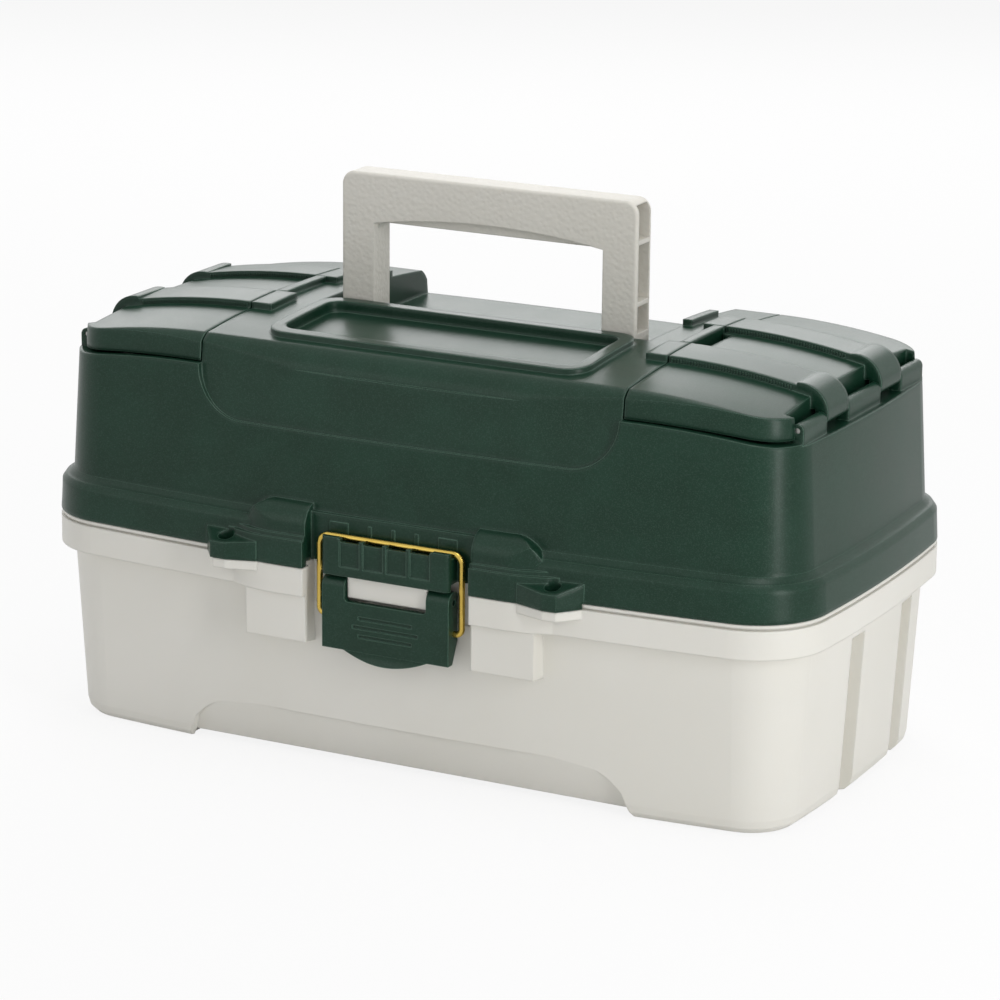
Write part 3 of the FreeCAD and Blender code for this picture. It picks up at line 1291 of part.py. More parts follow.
def bail_wire():
    """The bail: one wire, its two ends turned in to the lever."""
    half = size("bail_half_length")
    corner = size("bail_corner")
    place = -size("bail_pivot_place")
    low = size("bail_pivot_height")
    top = size("bail_top")
    end = size("bail_end")
    small = 2 * size("bail_wire_radius")
    curve = corner * (1 - math.cos(HALF_CORNER))
    small_curve = small * (1 - math.cos(HALF_CORNER))

    def point(x, z):
        return FreeCAD.Vector(x, place, z)

    edges = [
        Part.LineSegment(point(-end, low), point(-half + small, low)),
        Part.Arc(point(-half + small, low), point(-half + small_curve, low + small_curve), point(-half, low + small)),
        Part.LineSegment(point(-half, low + small), point(-half, top - corner)),
        Part.Arc(point(-half, top - corner), point(-half + curve, top - curve), point(-half + corner, top)),
        Part.LineSegment(point(-half + corner, top), point(half - corner, top)),
        Part.Arc(point(half - corner, top), point(half - curve, top - curve), point(half, top - corner)),
        Part.LineSegment(point(half, top - corner), point(half, low + small)),
        Part.Arc(point(half, low + small), point(half - small_curve, low + small_curve), point(half - small, low)),
        Part.LineSegment(point(half - small, low), point(end, low)),
    ]
    path = Part.Wire([edge.toShape() for edge in edges])
    section = Part.Wire([Part.Circle(point(-end, low), X_AXIS, size("bail_wire_radius")).toShape()])
    return path.makePipeShell([section], True, False)


node("latch_bail", solid("Bail", bail_wire()))


# Trays: one shell to a tray, with its own walls; pins in both ends, arms outside them
def tray_pin(number):
    """The rear pin of a tray, as expressions of its two places."""
    distance = f"(arm_first + {number} * arm_pitch)"
    return (f"arm_pivot_place - {distance} * cos(arm_angle)", f"arm_pivot_height + {distance} * sin(arm_angle)")


def tray(number, label, front_walls, rear_walls, dividers):
    """A tray: cross walls and divider places are shares of its inner half-length."""
    place, height = tray_pin(number)
    back = f"{place} + tray_pin_back"
    front = f"{back} - tray_depth"
    low = f"{height} - tray_pin_height"
    floor = f"{low} + tray_floor"
    middle = f"{place} - arm_spacing / 2"
    name = "Tray" + str(number)
    x = ("0 - tray_half_length", "tray_half_length")
    outer = rounded_block(name + "Outer", x, (front, back), (low, f"{low} + tray_height"), "tray_corner")
    inner = rounded_block(
        name + "Inner", ("0 - tray_half_length + tray_wall", "tray_half_length - tray_wall"),
        (front + " + tray_wall", back + " - tray_wall"), (floor, f"{low} + tray_height + overrun"),
        "tray_inner_corner")
    wall_top = f"{low} + divider_height"
    walls = [block(name + "Long", ("0 - tray_half_length + tray_wall / 2", "tray_half_length - tray_wall / 2"),
                   (middle + " - divider_wall / 2", middle + " + divider_wall / 2"), (floor, wall_top))]
    inside = "(tray_half_length - tray_wall)"
    rows = {"Front": (front + " + tray_wall / 2", middle), "Rear": (middle, back + " - tray_wall / 2")}
    for row, shares in (("Front", front_walls), ("Rear", rear_walls)):
        for share in shares:
            walls.append(block(
                f"{name}{row}{len(walls)}",
                (f"{share} * {inside} - divider_wall / 2", f"{share} * {inside} + divider_wall / 2"),
                rows[row], (floor, wall_top)))
    slips = []
    for share in dividers:
        centre = f"{share} * {inside}"
        row_low = front + " + tray_wall"
        row_high = middle + " - divider_wall / 2"
        for side in (-1, 1):
            near = f"{centre} + {side} * (divider_wall / 2 + divider_gap)"
            far = f"{near} + {side} * divider_slot"
            reach = (far, near) if side < 0 else (near, far)
            for y in ((row_low, row_low + " + divider_slot"), (row_high + " - divider_slot", row_high)):
                walls.append(block(f"{name}Rib{len(walls)}", reach, y, (floor, wall_top)))
        slips.append(block(
            f"{name}Slip{len(slips)}", (f"{centre} - divider_wall / 2", f"{centre} + divider_wall / 2"),
            (row_low + " + divider_gap", row_high + " - divider_gap"), (floor, wall_top)))
    bosses = []
    holes = []
    rivets = []
    for pin_place in (place, f"{place} - arm_spacing"):
        centre = (pin_place, height)
        bosses.append(rod(
            f"{name}Boss{len(bosses)}", "x", centre, ("tray_half_length - tray_wall", "arm_near - post_gap"),
            "tray_boss_radius"))
        holes.append(rod(
            f"{name}Hole{len(holes)}", "x", centre, ("tray_half_length - tray_wall", "arm_near"), "arm_pin_radius"))
        rivets.append(rod(
            f"{name}Shank{len(rivets)}", "x", centre, ("tray_half_length - tray_wall", arm_far + " + head_gap"),
            "arm_pin_radius"))
        rivets.append(rod(
            f"{name}Head{len(rivets)}", "x", centre,
            (arm_far + " + head_gap", arm_far + " + head_gap + arm_head"), "arm_head_radius"))
    ends = fuse(name + "Ends", *bosses)
    shell = fuse(name + "Shell", cut(name + "Cup", outer, inner), *walls, *both(name + "EndsLeft", ends))
    node("tray_" + label, cut(name, shell, *both(name + "HolesLeft", fuse(name + "Holes", *holes))))
    node("tray_rivets_" + label, fuse(name + "Rivets", *both(name + "RivetsLeft", fuse(name + "Pins", *rivets))))
    if slips:
        node("tray_dividers_" + label, fuse(name + "Dividers", *slips))


tray(0, "bottom", (0,), (-0.42, 0.42), ())
tray(1, "middle", (-0.5, 0.5), (0,), (-0.24, 0.24))
tray(2, "top", (0,), (-0.6, -0.2, 0.2, 0.6), (-0.72, -0.36, 0.36, 0.72))


def bar_sketch(body, name, start, end, radius):
    """A bar with round ends between two places in the YZ plane, bound to the sheet."""
    sketch = body.newObject("Sketcher::SketchObject", name)
    plane = [item for item in body.Origin.OriginFeatures if item.Role == "YZ_Plane"][0]
    sketch.AttachmentSupport = (plane, [""])
    sketch.MapMode = "FlatFace"
    first = FreeCAD.Vector(worked(start[0]), worked(start[1]), 0)
    second = FreeCAD.Vector(worked(end[0]), worked(end[1]), 0)
    round_end = worked(radius)
    turn = math.atan2(second.y - first.y, second.x - first.x)
    half = math.pi / 2
    near = sketch.addGeometry(Part.ArcOfCircle(Part.Circle(first, Z_AXIS, round_end), turn + half, turn + 3 * half))
    far = sketch.addGeometry(Part.ArcOfCircle(Part.Circle(second, Z_AXIS, round_end), turn - half, turn + half))
    offset = FreeCAD.Vector(math.cos(turn + half), math.sin(turn + half), 0) * round_end
    left = sketch.addGeometry(Part.LineSegment(second + offset, first + offset))
    right = sketch.addGeometry(Part.LineSegment(first - offset, second - offset))
    for one, one_end, other, other_end in ((near, 1, left, 2), (near, 2, right, 1), (far, 2, left, 1),
                                           (far, 1, right, 2)):
        sketch.addConstraint(Sketcher.Constraint("Tangent", one, one_end, other, other_end))
    bind(sketch, near, start, radius)
    bind(sketch, far, end)
    return sketch


def worked(text):
    """The value of an expression, for a sketch's first guess."""
    return float(sheet.evalExpression(cell(text)))


def bind(sketch, ring, place, radius=None):
    """Tie a circle's or an arc's centre, and its radius, to the sheet."""
    bound = []
    for kind, text in zip(("DistanceX", "DistanceY"), place):
        if text == "0":
            sketch.addConstraint(Sketcher.Constraint("PointOnObject", ring, 3, -2 if kind == "DistanceX" else -1))
        else:
            bound.append((kind, (-1, 1, ring, 3, worked(text)), text))
    if radius:
        bound.append(("Radius", (ring, worked(radius)), radius))
    for kind, args, text in bound:
        number = sketch.addConstraint(Sketcher.Constraint(kind, *args))
        sketch.setExpression(f"Constraints[{number}]", cell(text))


def pad(body, name, sketch, length):
    feature = body.newObject("PartDesign::Pad", name)
    feature.Profile = sketch
    feature.setExpression("Length", cell(length))
    return feature


def bore(body, name, places, radii):
    """Round holes through a bar, at places in the YZ plane."""
    sketch = body.newObject("Sketcher::SketchObject", name + "Sketch")
    plane = [item for item in body.Origin.OriginFeatures if item.Role == "YZ_Plane"][0]
    sketch.AttachmentSupport = (plane, [""])
    sketch.MapMode = "FlatFace"
    for place, radius in zip(places, radii):
        centre = FreeCAD.Vector(worked(place[0]), worked(place[1]), 0)
        ring = sketch.addGeometry(Part.Circle(centre, Z_AXIS, worked(radius)))
        bind(sketch, ring, place, radius)
    feature = body.newObject("PartDesign::Pocket", name)
    feature.Profile = sketch
    feature.Type = "ThroughAll"
    feature.Midplane = True
    return feature


def on_arm(distance):
    """A place on the arm, from its pivot, as if the pivot were the body's own origin."""
    return (f"0 - {distance} * cos(arm_angle)", f"{distance} * sin(arm_angle)")


def arm(name, branch):
    """An arm that carries the three trays; the rear one has a branch for the lid's link."""
    body = doc.addObject("PartDesign::Body", name)
    last = on_arm("(arm_first + 2 * arm_pitch)")
    pad(body, name + "Bar", bar_sketch(body, name + "BarSketch", ("0", "0"), last, "arm_end_radius"), "arm_thickness")
    places = [("0", "0")] + [on_arm(f"(arm_first + {number} * arm_pitch)") for number in range(3)]
    if branch:
        end = ("link_arm_place - arm_pivot_place", "link_arm_height - arm_pivot_height")
        pad(body, name + "Branch", bar_sketch(body, name + "BranchSketch", ("0", "0"), end, "arm_end_radius"),
            "arm_thickness")
        places.append(end)
    bore(body, name + "Holes", places, ["arm_pin_radius + arm_pin_gap"] * len(places))
    body.setExpression("Placement.Base.x", cell("arm_near"))
    body.setExpression("Placement.Base.y", cell("arm_pivot_place" if branch else "arm_pivot_place - arm_spacing"))
    body.setExpression("Placement.Base.z", cell("arm_pivot_height"))
    return body


for kind, branch in (("front", False), ("rear", True)):
    made = arm(kind.capitalize() + "Arm", branch)
    node(f"{kind}_arm_right", made)
    node(f"{kind}_arm_left", mirrored(kind.capitalize() + "ArmLeft", made))

link_body = doc.addObject("PartDesign::Body", "LiftLink")
link_end = ("link_lid_place - link_arm_place", "link_lid_height - link_arm_height")
pad(link_body, "LinkBar", bar_sketch(link_body, "LinkBarSketch", ("0", "0"), link_end, "link_end_radius"),
    "link_thickness")
bore(link_body, "LinkHoles", [("0", "0"), link_end],
     ["arm_pin_radius + arm_pin_gap", "arm_pin_radius + link_slot_clearance"])
for letter, text in (("x", "link_near"), ("y", "link_arm_place"), ("z", "link_arm_height")):
    link_body.setExpression("Placement.Base." + letter, cell(text))
node("lift_link_right", link_body)
node("lift_link_left", mirrored("LiftLinkLeft", link_body))


def rivet(name, centre, shank, head, head_radius="arm_head_radius"):
    """A headed pin along the box: the shank's reach and the head's reach."""
    return fuse(name, rod(name + "Shank", "x", centre, shank, "arm_pin_radius"),
                rod(name + "Head", "x", centre, head, head_radius))


pivot_rivets = fuse("PivotRivets", *[
    rivet(f"PivotRivet{int(front)}", arm_pivot(front),
          ("arm_near - head_gap - arm_head", arm_far + " + post_radius"),
          ("arm_near - head_gap - arm_head", "arm_near - head_gap")) for front in (True, False)])
node("arm_pivot_rivets", fuse("ArmPivotRivets", *both("PivotRivetsLeft", pivot_rivets)))
link_rivet = fuse(
    "LinkRivet",
    rivet("LinkRivetIn", ("link_arm_place", "link_arm_height"),
          ("arm_near - head_gap - arm_head", "link_near + link_thickness + head_gap + arm_head"),
          ("arm_near - head_gap - arm_head", "arm_near - head_gap")),
    rod("LinkRivetHead", "x", ("link_arm_place", "link_arm_height"),
        ("link_near + link_thickness + head_gap", "link_near + link_thickness + head_gap + arm_head"),
        "arm_head_radius"),
    rod("LinkRivetSpacer", "x", ("link_arm_place", "link_arm_height"),
        (arm_far + " + head_gap", "link_near - head_gap"), "arm_head_radius"))
node("link_rivets", fuse("LinkRivets", *both("LinkRivetLeft", link_rivet)))
lid_stud = rivet(
    "LidStud", ("link_lid_place", "link_lid_height"),
    ("link_near - head_gap - arm_head", "link_near + post_radius + overrun"),
    ("link_near - head_gap - arm_head", "link_near - head_gap"), "link_stud_head_radius")
node("lid_link_studs", fuse("LidLinkStuds", *both("LidStudLeft", lid_stud)))

doc.recompute()
for item in doc.Objects:
    if "Invalid" in item.State or (hasattr(item, "Shape") and not item.Shape.isNull() and not item.Shape.isValid()):
        raise RuntimeError(f"{item.Name} didn't come out: {item.State}")
os.makedirs("parts", exist_ok=True)
for label, feature in nodes.items():
    feature.Shape.exportStep(f"parts/{label}.step")
    print(label, len(feature.Shape.Solids), round(feature.Shape.Volume), flush=True)
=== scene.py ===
# %% [markdown]
# # A tackle box with swing-out trays
# The real box is a catalogue classic: a light tub, a dark green lid with a metallic fleck, two small
# lids let into its top, a folding handle, and a lever latch that pulls a brass wire over a catch.
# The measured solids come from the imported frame, so this lesson is about what turns them into
# moulded plastic, drawn wire and stamped metal. The first cell loads them.

# %% Load the frame and keep its box
import math

import bpy
from mathutils import Matrix, Vector


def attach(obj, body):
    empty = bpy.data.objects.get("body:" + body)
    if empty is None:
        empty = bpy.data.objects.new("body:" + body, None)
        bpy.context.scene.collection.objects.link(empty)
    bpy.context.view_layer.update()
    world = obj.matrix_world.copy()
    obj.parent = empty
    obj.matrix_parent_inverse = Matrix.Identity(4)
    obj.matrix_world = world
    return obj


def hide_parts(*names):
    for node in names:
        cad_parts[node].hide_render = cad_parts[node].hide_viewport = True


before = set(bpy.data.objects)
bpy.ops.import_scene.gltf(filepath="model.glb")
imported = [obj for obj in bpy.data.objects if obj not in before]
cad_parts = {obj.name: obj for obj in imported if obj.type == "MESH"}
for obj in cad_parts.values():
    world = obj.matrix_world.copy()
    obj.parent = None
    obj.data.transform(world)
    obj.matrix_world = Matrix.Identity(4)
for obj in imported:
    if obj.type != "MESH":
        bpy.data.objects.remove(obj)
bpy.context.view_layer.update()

# %% [markdown]
# ## A small language for shaders
# A moulded finish is mostly arithmetic on noise: a speck here, a little more gloss there. Drawing
# that as nodes is slow to read, so a socket is wrapped in a class that knows how to add, multiply
# and compare. An expression then builds its own Math nodes, and plain numbers stay plain.

# %% A socket that does arithmetic
class Signal:
    """A shader socket with operators; each one adds a Math node to the same tree."""

    def __init__(self, tree, socket):
        self.tree = tree
        self.socket = socket

    def math(self, operation, *others):
        made = self.tree.node("ShaderNodeMath", {"operation": operation}, dict(enumerate([self, *others])))
        return made.out("Value")

    def __add__(self, other):
        return self.math("ADD", other)

    def __sub__(self, other):
        return self.math("SUBTRACT", other)

    def __rsub__(self, other):
        return self.tree.value(other, self, "SUBTRACT")

    def __mul__(self, other):
        return self.math("MULTIPLY", other)

    __radd__ = __add__
    __rmul__ = __mul__

    def between(self, low, high):
        """0 below low, 1 above high, and a soft step between them."""
        made = self.tree.node("ShaderNodeMapRange", {"interpolation_type": "SMOOTHSTEP"},
                              {"Value": self, "From Min": low, "From Max": high})
        return made.out("Result")


class Tree:
    """A material's node tree, with one method for every kind of node."""

    def __init__(self, name):
        self.material = bpy.data.materials.new(name)
        self.material.use_nodes = True
        self.nodes = self.material.node_tree.nodes
        self.links = self.material.node_tree.links
        self.shader = self.nodes["Principled BSDF"]
        self.place = Signal(self, self.node("ShaderNodeTexCoord", {}, {}).made.outputs["Object"])

    def node(self, kind, settings, inputs):
        """A node of a kind: its settings first, then the values or links of its sockets."""
        made = self.nodes.new(kind)
        for name, value in settings.items():
            setattr(made, name, value)
        for name, value in inputs.items():
            self.feed(made.inputs[name], value)
        return Made(self, made)

    def feed(self, socket, value):
        if isinstance(value, Signal):
            self.links.new(value.socket, socket)
        else:
            socket.default_value = value

    def value(self, first, second, operation):
        return self.node("ShaderNodeMath", {"operation": operation}, {0: first, 1: second}).out("Value")

    def mix(self, factor, first, second):
        """A blend of two colours."""
        made = self.node("ShaderNodeMix", {"data_type": "RGBA"}, {"Factor": factor})
        for number, colour in ((6, first), (7, second)):
            self.feed(made.made.inputs[number], colour)
        return Signal(self, made.made.outputs[2])

    def noise(self, scale, detail=2.0, roughness=0.5, stretch=None):
        """Noise over the piece, with scale in features per metre."""
        place = self.place
        if stretch:
            place = self.node("ShaderNodeMapping", {}, {"Vector": place, "Scale": stretch}).out("Vector")
        return self.node("ShaderNodeTexNoise", {}, {
            "Vector": place, "Scale": scale, "Detail": detail, "Roughness": roughness}).out("Fac")

    def pebbles(self, scale):
        """Rounded cells over the piece, as a pebbled mould leaves them."""
        return self.node("ShaderNodeTexVoronoi", {"feature": "SMOOTH_F1"}, {
            "Vector": self.place, "Scale": scale}).out("Distance")

    def specks(self, scale):
        """A random number for every small cell over the piece."""
        cell = self.node("ShaderNodeTexVoronoi", {}, {"Vector": self.place, "Scale": scale})
        return self.node("ShaderNodeSeparateColor", {}, {"Color": cell.out("Color")}).out("Red")

    def soft_edge(self, radius):
        """The normal of the same surface with its edges rounded, as a mould's are."""
        return self.node("ShaderNodeBevel", {"samples": 6}, {"Radius": radius}).out("Normal")

    def edge_highlight_mask(self, radius):
        """1 along edges, where the rounded normal leaves the flat one, and 0 on the faces between; it masks a
        painted edge highlight.
        """
        flat = self.node("ShaderNodeNewGeometry", {}, {}).out("Normal")
        match = self.node("ShaderNodeVectorMath", {"operation": "DOT_PRODUCT"}, {
            0: self.soft_edge(radius), 1: flat})
        barely_turned, well_turned = 0.02, 0.28
        return (1 - match.out("Value")).between(barely_turned, well_turned)

    def bump(self, height, strength, distance, radius):
        """A bump in metres that rides on the rounded edges."""
        return self.node("ShaderNodeBump", {}, {
            "Height": height, "Strength": strength, "Distance": distance,
            "Normal": self.soft_edge(radius)}).out("Normal")

    def finish(self, **inputs):
        """Set the shader's sockets by name, with underscores for spaces."""
        for name, value in inputs.items():
            self.feed(self.shader.inputs[name.replace("_", " ")], value)
        return self.material


class Made:
    """A node just made, asked for one of its outputs."""

    def __init__(self, tree, made):
        self.tree = tree
        self.made = made

    def out(self, name):
        return Signal(self.tree, self.made.outputs[name])


def colour(red, green, blue):
    """An 0 to 255 screen colour as the shader's linear one."""
    def linear(value):
        share = value / 255
        return share / 12.92 if share <= 0.04045 else ((share + 0.055) / 1.055) ** 2.4
    return (linear(red), linear(green), linear(blue), 1.0)


# %% [markdown]
# ## The green with a metallic fleck
# The lid, the small lids and the latch are one dark green polypropylene with aluminium flake in it.
# Up close it is thousands of specks, each at its own angle; from a step back it is a satin green
# that turns grey where the light grazes it. Small Voronoi cells pick the specks, and their random
# height goes in as a very shallow bump, so the gloss breaks up as it does on the real mould. A painted
# highlight pales the green along its edges: where the rounded normal leaves the flat one, it lightens.
# The index of refraction is low, because a grained skin throws back less than a polished one.

# %% Green plastic
def green_plastic(name, grain, radius):
    flecks_per_metre, clouds_per_metre, grains_per_metre = 2700.0, 38.0, 1300.0
    flake_share, edge_highlight_share, edge_highlight_width = 0.2, 0.8, 0.0009
    least_rough, rough_spread = 0.28, 0.04
    tree = Tree(name)
    pick = tree.specks(flecks_per_metre)
    flake = pick.between(0.6, 1.0)
    cloud = tree.noise(clouds_per_metre, detail=3.0)
    body = tree.mix(cloud.between(0.35, 0.7), colour(14, 47, 32), colour(18, 52, 37))
    flecked = tree.mix(flake * flake_share, body, colour(84, 104, 96))
    # painted highlight: the base colour lightens towards a pale green along edges, standing in for light caught
    # by rounded edges
    shown = tree.mix(tree.edge_highlight_mask(edge_highlight_width) * edge_highlight_share, flecked, colour(98, 134, 116))
    fine = tree.noise(grains_per_metre, detail=2.0)
    surface = tree.bump(fine + pick * 0.4, 0.42, grain, radius)
    return tree.finish(
        Base_Color=shown, Metallic=flake * flake_share,
        Roughness=cloud.between(0.2, 0.8) * rough_spread + least_rough, Normal=surface, IOR=1.35)


lid_green = green_plastic("green flecked plastic", grain=0.00006, radius=0.003)
latch_green = green_plastic("green latch plastic", grain=0.00005, radius=0.0008)
print("greens:", lid_green.name, latch_green.name)

# %% [markdown]
# ## The light plastic of the tub
# The tub is a warm off-white polypropylene from a mould with a very fine matt grain. It is not one
# flat colour: a big thin wall cools unevenly, so it clouds a little. Nothing is printed on it.

# %% Tub plastic
def light_plastic(name, base, cloud_base, rough, grain, grain_size, radius, pebble=0.0):
    tree = Tree(name)
    cloud = tree.noise(9.0, detail=3.0)
    speck = tree.noise(2400.0, detail=1.0)
    shade = tree.mix(cloud.between(0.3, 0.75), base, cloud_base)
    skin = tree.noise(grain_size, detail=3.0, roughness=0.6)
    height = skin
    if pebble:
        height = skin * 0.5 + tree.pebbles(grain_size * 0.8) * pebble
    return tree.finish(
        Base_Color=shade, Roughness=speck.between(0.3, 0.7) * 0.05 + rough,
        Normal=tree.bump(height, 0.5, grain, radius), IOR=1.49,
        Subsurface_Weight=0.06, Subsurface_Radius=(0.006, 0.005, 0.004), Subsurface_Scale=0.4)


tub_white = light_plastic(
    "tub light plastic", colour(226, 224, 217), colour(222, 220, 212),
    rough=0.42, grain=0.00005, grain_size=1300.0, radius=0.0014)
handle_white = light_plastic(
    "handle grained plastic", colour(219, 216, 208), colour(213, 210, 201),
    rough=0.5, grain=0.00045, grain_size=560.0, radius=0.0009, pebble=1.2)
tray_grey = light_plastic(
    "tray plastic", colour(205, 206, 201), colour(199, 200, 195),
    rough=0.38, grain=0.00004, grain_size=900.0, radius=0.0006)
divider_grey = light_plastic(
    "divider plastic", colour(216, 217, 212), colour(210, 211, 206),
    rough=0.36, grain=0.00004, grain_size=900.0, radius=0.0003)
print("light plastics ready")

# %% [markdown]
# ## Wire, pins and arms
# The bail is drawn brass, so its marks run along the wire. The arms are blanked from aluminium
# strip and tumbled, which leaves fine cross scratches and slightly bright edges, and the pins and
# rivets are zinc plated. Stretching a noise along one axis is enough to say which way metal was worked.

# %% Metals
def worked_metal(name, base, stain, rough, scale, stretch, depth):
    tree = Tree(name)
    lines = tree.noise(scale, detail=4.0, stretch=stretch)
    patch = tree.noise(60.0, detail=3.0)
    shade = tree.mix(patch.between(0.35, 0.75) * 0.6, base, stain)
    return tree.finish(
        Base_Color=shade, Metallic=1.0, Roughness=lines.between(0.25, 0.75) * 0.14 + rough,
        Normal=tree.bump(lines, 0.35, depth, 0.0003))


bail_brass = worked_metal(
    "drawn brass", colour(208, 180, 92), colour(184, 152, 68),
    rough=0.2, scale=900.0, stretch=(0.15, 1, 0.15), depth=0.00003)
arm_metal = worked_metal(
    "tumbled aluminium", colour(196, 198, 200), colour(176, 178, 181),
    rough=0.34, scale=700.0, stretch=(1, 1, 0.2), depth=0.00004)
pin_metal = worked_metal(
    "zinc plate", colour(190, 190, 186), colour(160, 160, 156),
    rough=0.3, scale=500.0, stretch=(1, 1, 1), depth=0.00003)
print("metals:", bail_brass.name, arm_metal.name, pin_metal.name)

# %% [markdown]
# ## Which piece gets which finish
# The frame's own nodes are exact, so they are kept and only re-dressed: each object's material
# slots are filled with the finish of its kind.

# %% Dress the solids
finishes = {
    "tub_shell": tub_white,
    "lid_shell": lid_green,
    "access_lid_right": lid_green,
    "access_lid_left": lid_green,
    "carry_handle": handle_white,
    "latch_lever": latch_green,
    "latch_bail": bail_brass,
    "tray_bottom": tray_grey,
    "tray_middle": tray_grey,
    "tray_top": tray_grey,
    "tray_dividers_middle": divider_grey,
    "tray_dividers_top": divider_grey,
}
for name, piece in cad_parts.items():
    finish = finishes.get(name, arm_metal if "arm_" in name or "link_" in name else pin_metal)
    if "rivets" in name or "pins" in name or "studs" in name:
        finish = pin_metal
    piece.data.materials.clear()
    piece.data.materials.append(finish)
print("dressed:", len(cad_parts))

# %% [markdown]
# ## Recipes that repeat or follow a path
# A bent wire and a row of small ribs have one thing in common: each is a rule with two or three
# sizes in it. Geometry Nodes hold such a rule with its sizes as named inputs. The class below builds
# a tree, runs it once on a small base mesh and keeps the plain mesh that comes out.

# %% A recipe for Geometry Nodes
class Recipe:
    """A Geometry Nodes tree with named sizes, baked to a plain mesh."""

    def __init__(self, name, **sizes):
        self.tree = bpy.data.node_groups.new(name, "GeometryNodeTree")
        self.tree.interface.new_socket("Geometry", in_out="INPUT", socket_type="NodeSocketGeometry")
        for key, value in sizes.items():
            kind = "NodeSocketInt" if isinstance(value, int) else "NodeSocketFloat"
            self.tree.interface.new_socket(key, in_out="INPUT", socket_type=kind).default_value = value
        self.tree.interface.new_socket("Geometry", in_out="OUTPUT", socket_type="NodeSocketGeometry")
        self.sizes = sizes
        self.enter = self.tree.nodes.new("NodeGroupInput").outputs

    def node(self, kind, settings, inputs):
        """A node with its settings; an input is a value or another node's socket."""
        made = self.tree.nodes.new(kind)
        for key, value in settings.items():
            setattr(made, key, value)
        for key, value in inputs.items():
            if isinstance(value, bpy.types.NodeSocket):
                self.tree.links.new(value, made.inputs[key])
            else:
                made.inputs[key].default_value = value
        return made

    def bake(self, geometry, material, base, name, body):
        """End the tree, run it on a base mesh and return the plain piece, riding with its body."""
        real = self.node("GeometryNodeRealizeInstances", {}, {"Geometry": geometry})
        dressed = self.node("GeometryNodeSetMaterial", {}, {"Geometry": real.outputs[0], "Material": material})
        leave = self.tree.nodes.new("NodeGroupOutput")
        self.tree.links.new(dressed.outputs[0], leave.inputs[0])
        holder = bpy.data.objects.new(name + " holder", base)
        bpy.context.scene.collection.objects.link(holder)
        modifier = holder.modifiers.new("recipe", "NODES")
        modifier.node_group = self.tree
        for item in self.tree.interface.items_tree:
            if item.in_out == "INPUT" and item.name in self.sizes:
                modifier[item.identifier] = self.sizes[item.name]
        graph = bpy.context.evaluated_depsgraph_get()
        mesh = bpy.data.meshes.new_from_object(holder.evaluated_get(graph), depsgraph=graph)
        holder.modifiers.remove(modifier)
        bpy.data.objects.remove(holder)
        piece = bpy.data.objects.new(name, mesh)
        bpy.context.scene.collection.objects.link(piece)
        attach(piece, body)
        print(name, "has", len(mesh.polygons), "faces")
        return piece


def base_mesh(name, points, edges=()):
    mesh = bpy.data.meshes.new(name)
    mesh.from_pydata(points, edges, [])
    return mesh


# %% [markdown]
# ## The bail
# The bail is one length of 3.2 mm brass wire: up one side, over the catch, down the other, with
# both ends turned in to the lever. Its path is six corners; the tree rounds each corner by the
# radius stored on it and sweeps a circle along the result, so the bends are true arcs.

# %% Bend the brass wire
def bent_wire():
    across, low, high, end, front = 0.0404, 0.0864, 0.1276, 0.031, -0.113
    low_bend, high_bend = 0.0032, 0.005
    points = [(-end, front, low), (-across, front, low), (-across, front, high),
              (across, front, high), (across, front, low), (end, front, low)]
    base = base_mesh("wire path", points, [(n, n + 1) for n in range(5)])
    bend = base.attributes.new("bend", "FLOAT", "POINT")
    for number, radius in enumerate((0, low_bend, high_bend, high_bend, low_bend, 0)):
        bend.data[number].value = radius
    recipe = Recipe("bent wire", **{"Wire Radius": 0.0016, "Bend Steps": 12, "Round Steps": 24})
    path = recipe.node("GeometryNodeMeshToCurve", {}, {"Mesh": recipe.enter["Geometry"]})
    radius = recipe.node("GeometryNodeInputNamedAttribute", {"data_type": "FLOAT"}, {"Name": "bend"})
    bends = recipe.node("GeometryNodeFilletCurve", {"mode": "POLY"}, {
        "Curve": path.outputs[0], "Radius": radius.outputs["Attribute"], "Count": recipe.enter["Bend Steps"]})
    ring = recipe.node("GeometryNodeCurvePrimitiveCircle", {}, {
        "Radius": recipe.enter["Wire Radius"], "Resolution": recipe.enter["Round Steps"]})
    swept = recipe.node("GeometryNodeCurveToMesh", {}, {
        "Curve": bends.outputs[0], "Profile Curve": ring.outputs[0], "Fill Caps": True})
    smooth = recipe.node("GeometryNodeSetShadeSmooth", {}, {"Geometry": swept.outputs[0]})
    return recipe.bake(smooth.outputs[0], bail_brass, base, "brass_bail", "bail")


wire = bent_wire()
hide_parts("latch_bail")

# %% [markdown]
# ## Ribs on the small lids
# Each small lid has two raised strips, and the riser in front of each strip carries a band of fine
# upright ribs that reads as a dark line in the photograph. One rib is repeated along the riser, so
# the tree resamples the riser's line by the ribs' pitch and puts a small block on every point.

# %% Rib the risers
RISERS = (-0.047, 0.021)
RISER_MIDDLE = 0.0014


def riser_line(side, y):
    """Points along a riser, following the small lid as it falls towards the end of the box."""
    crown, near, far, deck, arch = 0.38, 0.1186, 0.188, 0.2225, 0.812
    margin, steps, sunk = 0.003, 24, 0.00015
    points = []
    for step in range(steps + 1):
        x = near + margin + (far - near - 2 * margin) * step / steps
        fall = crown - math.sqrt(crown ** 2 - (x - near) ** 2)
        z = deck - fall - y ** 2 / (2 * arch) + RISER_MIDDLE
        points.append((side * x, y - sunk, z))
    return points


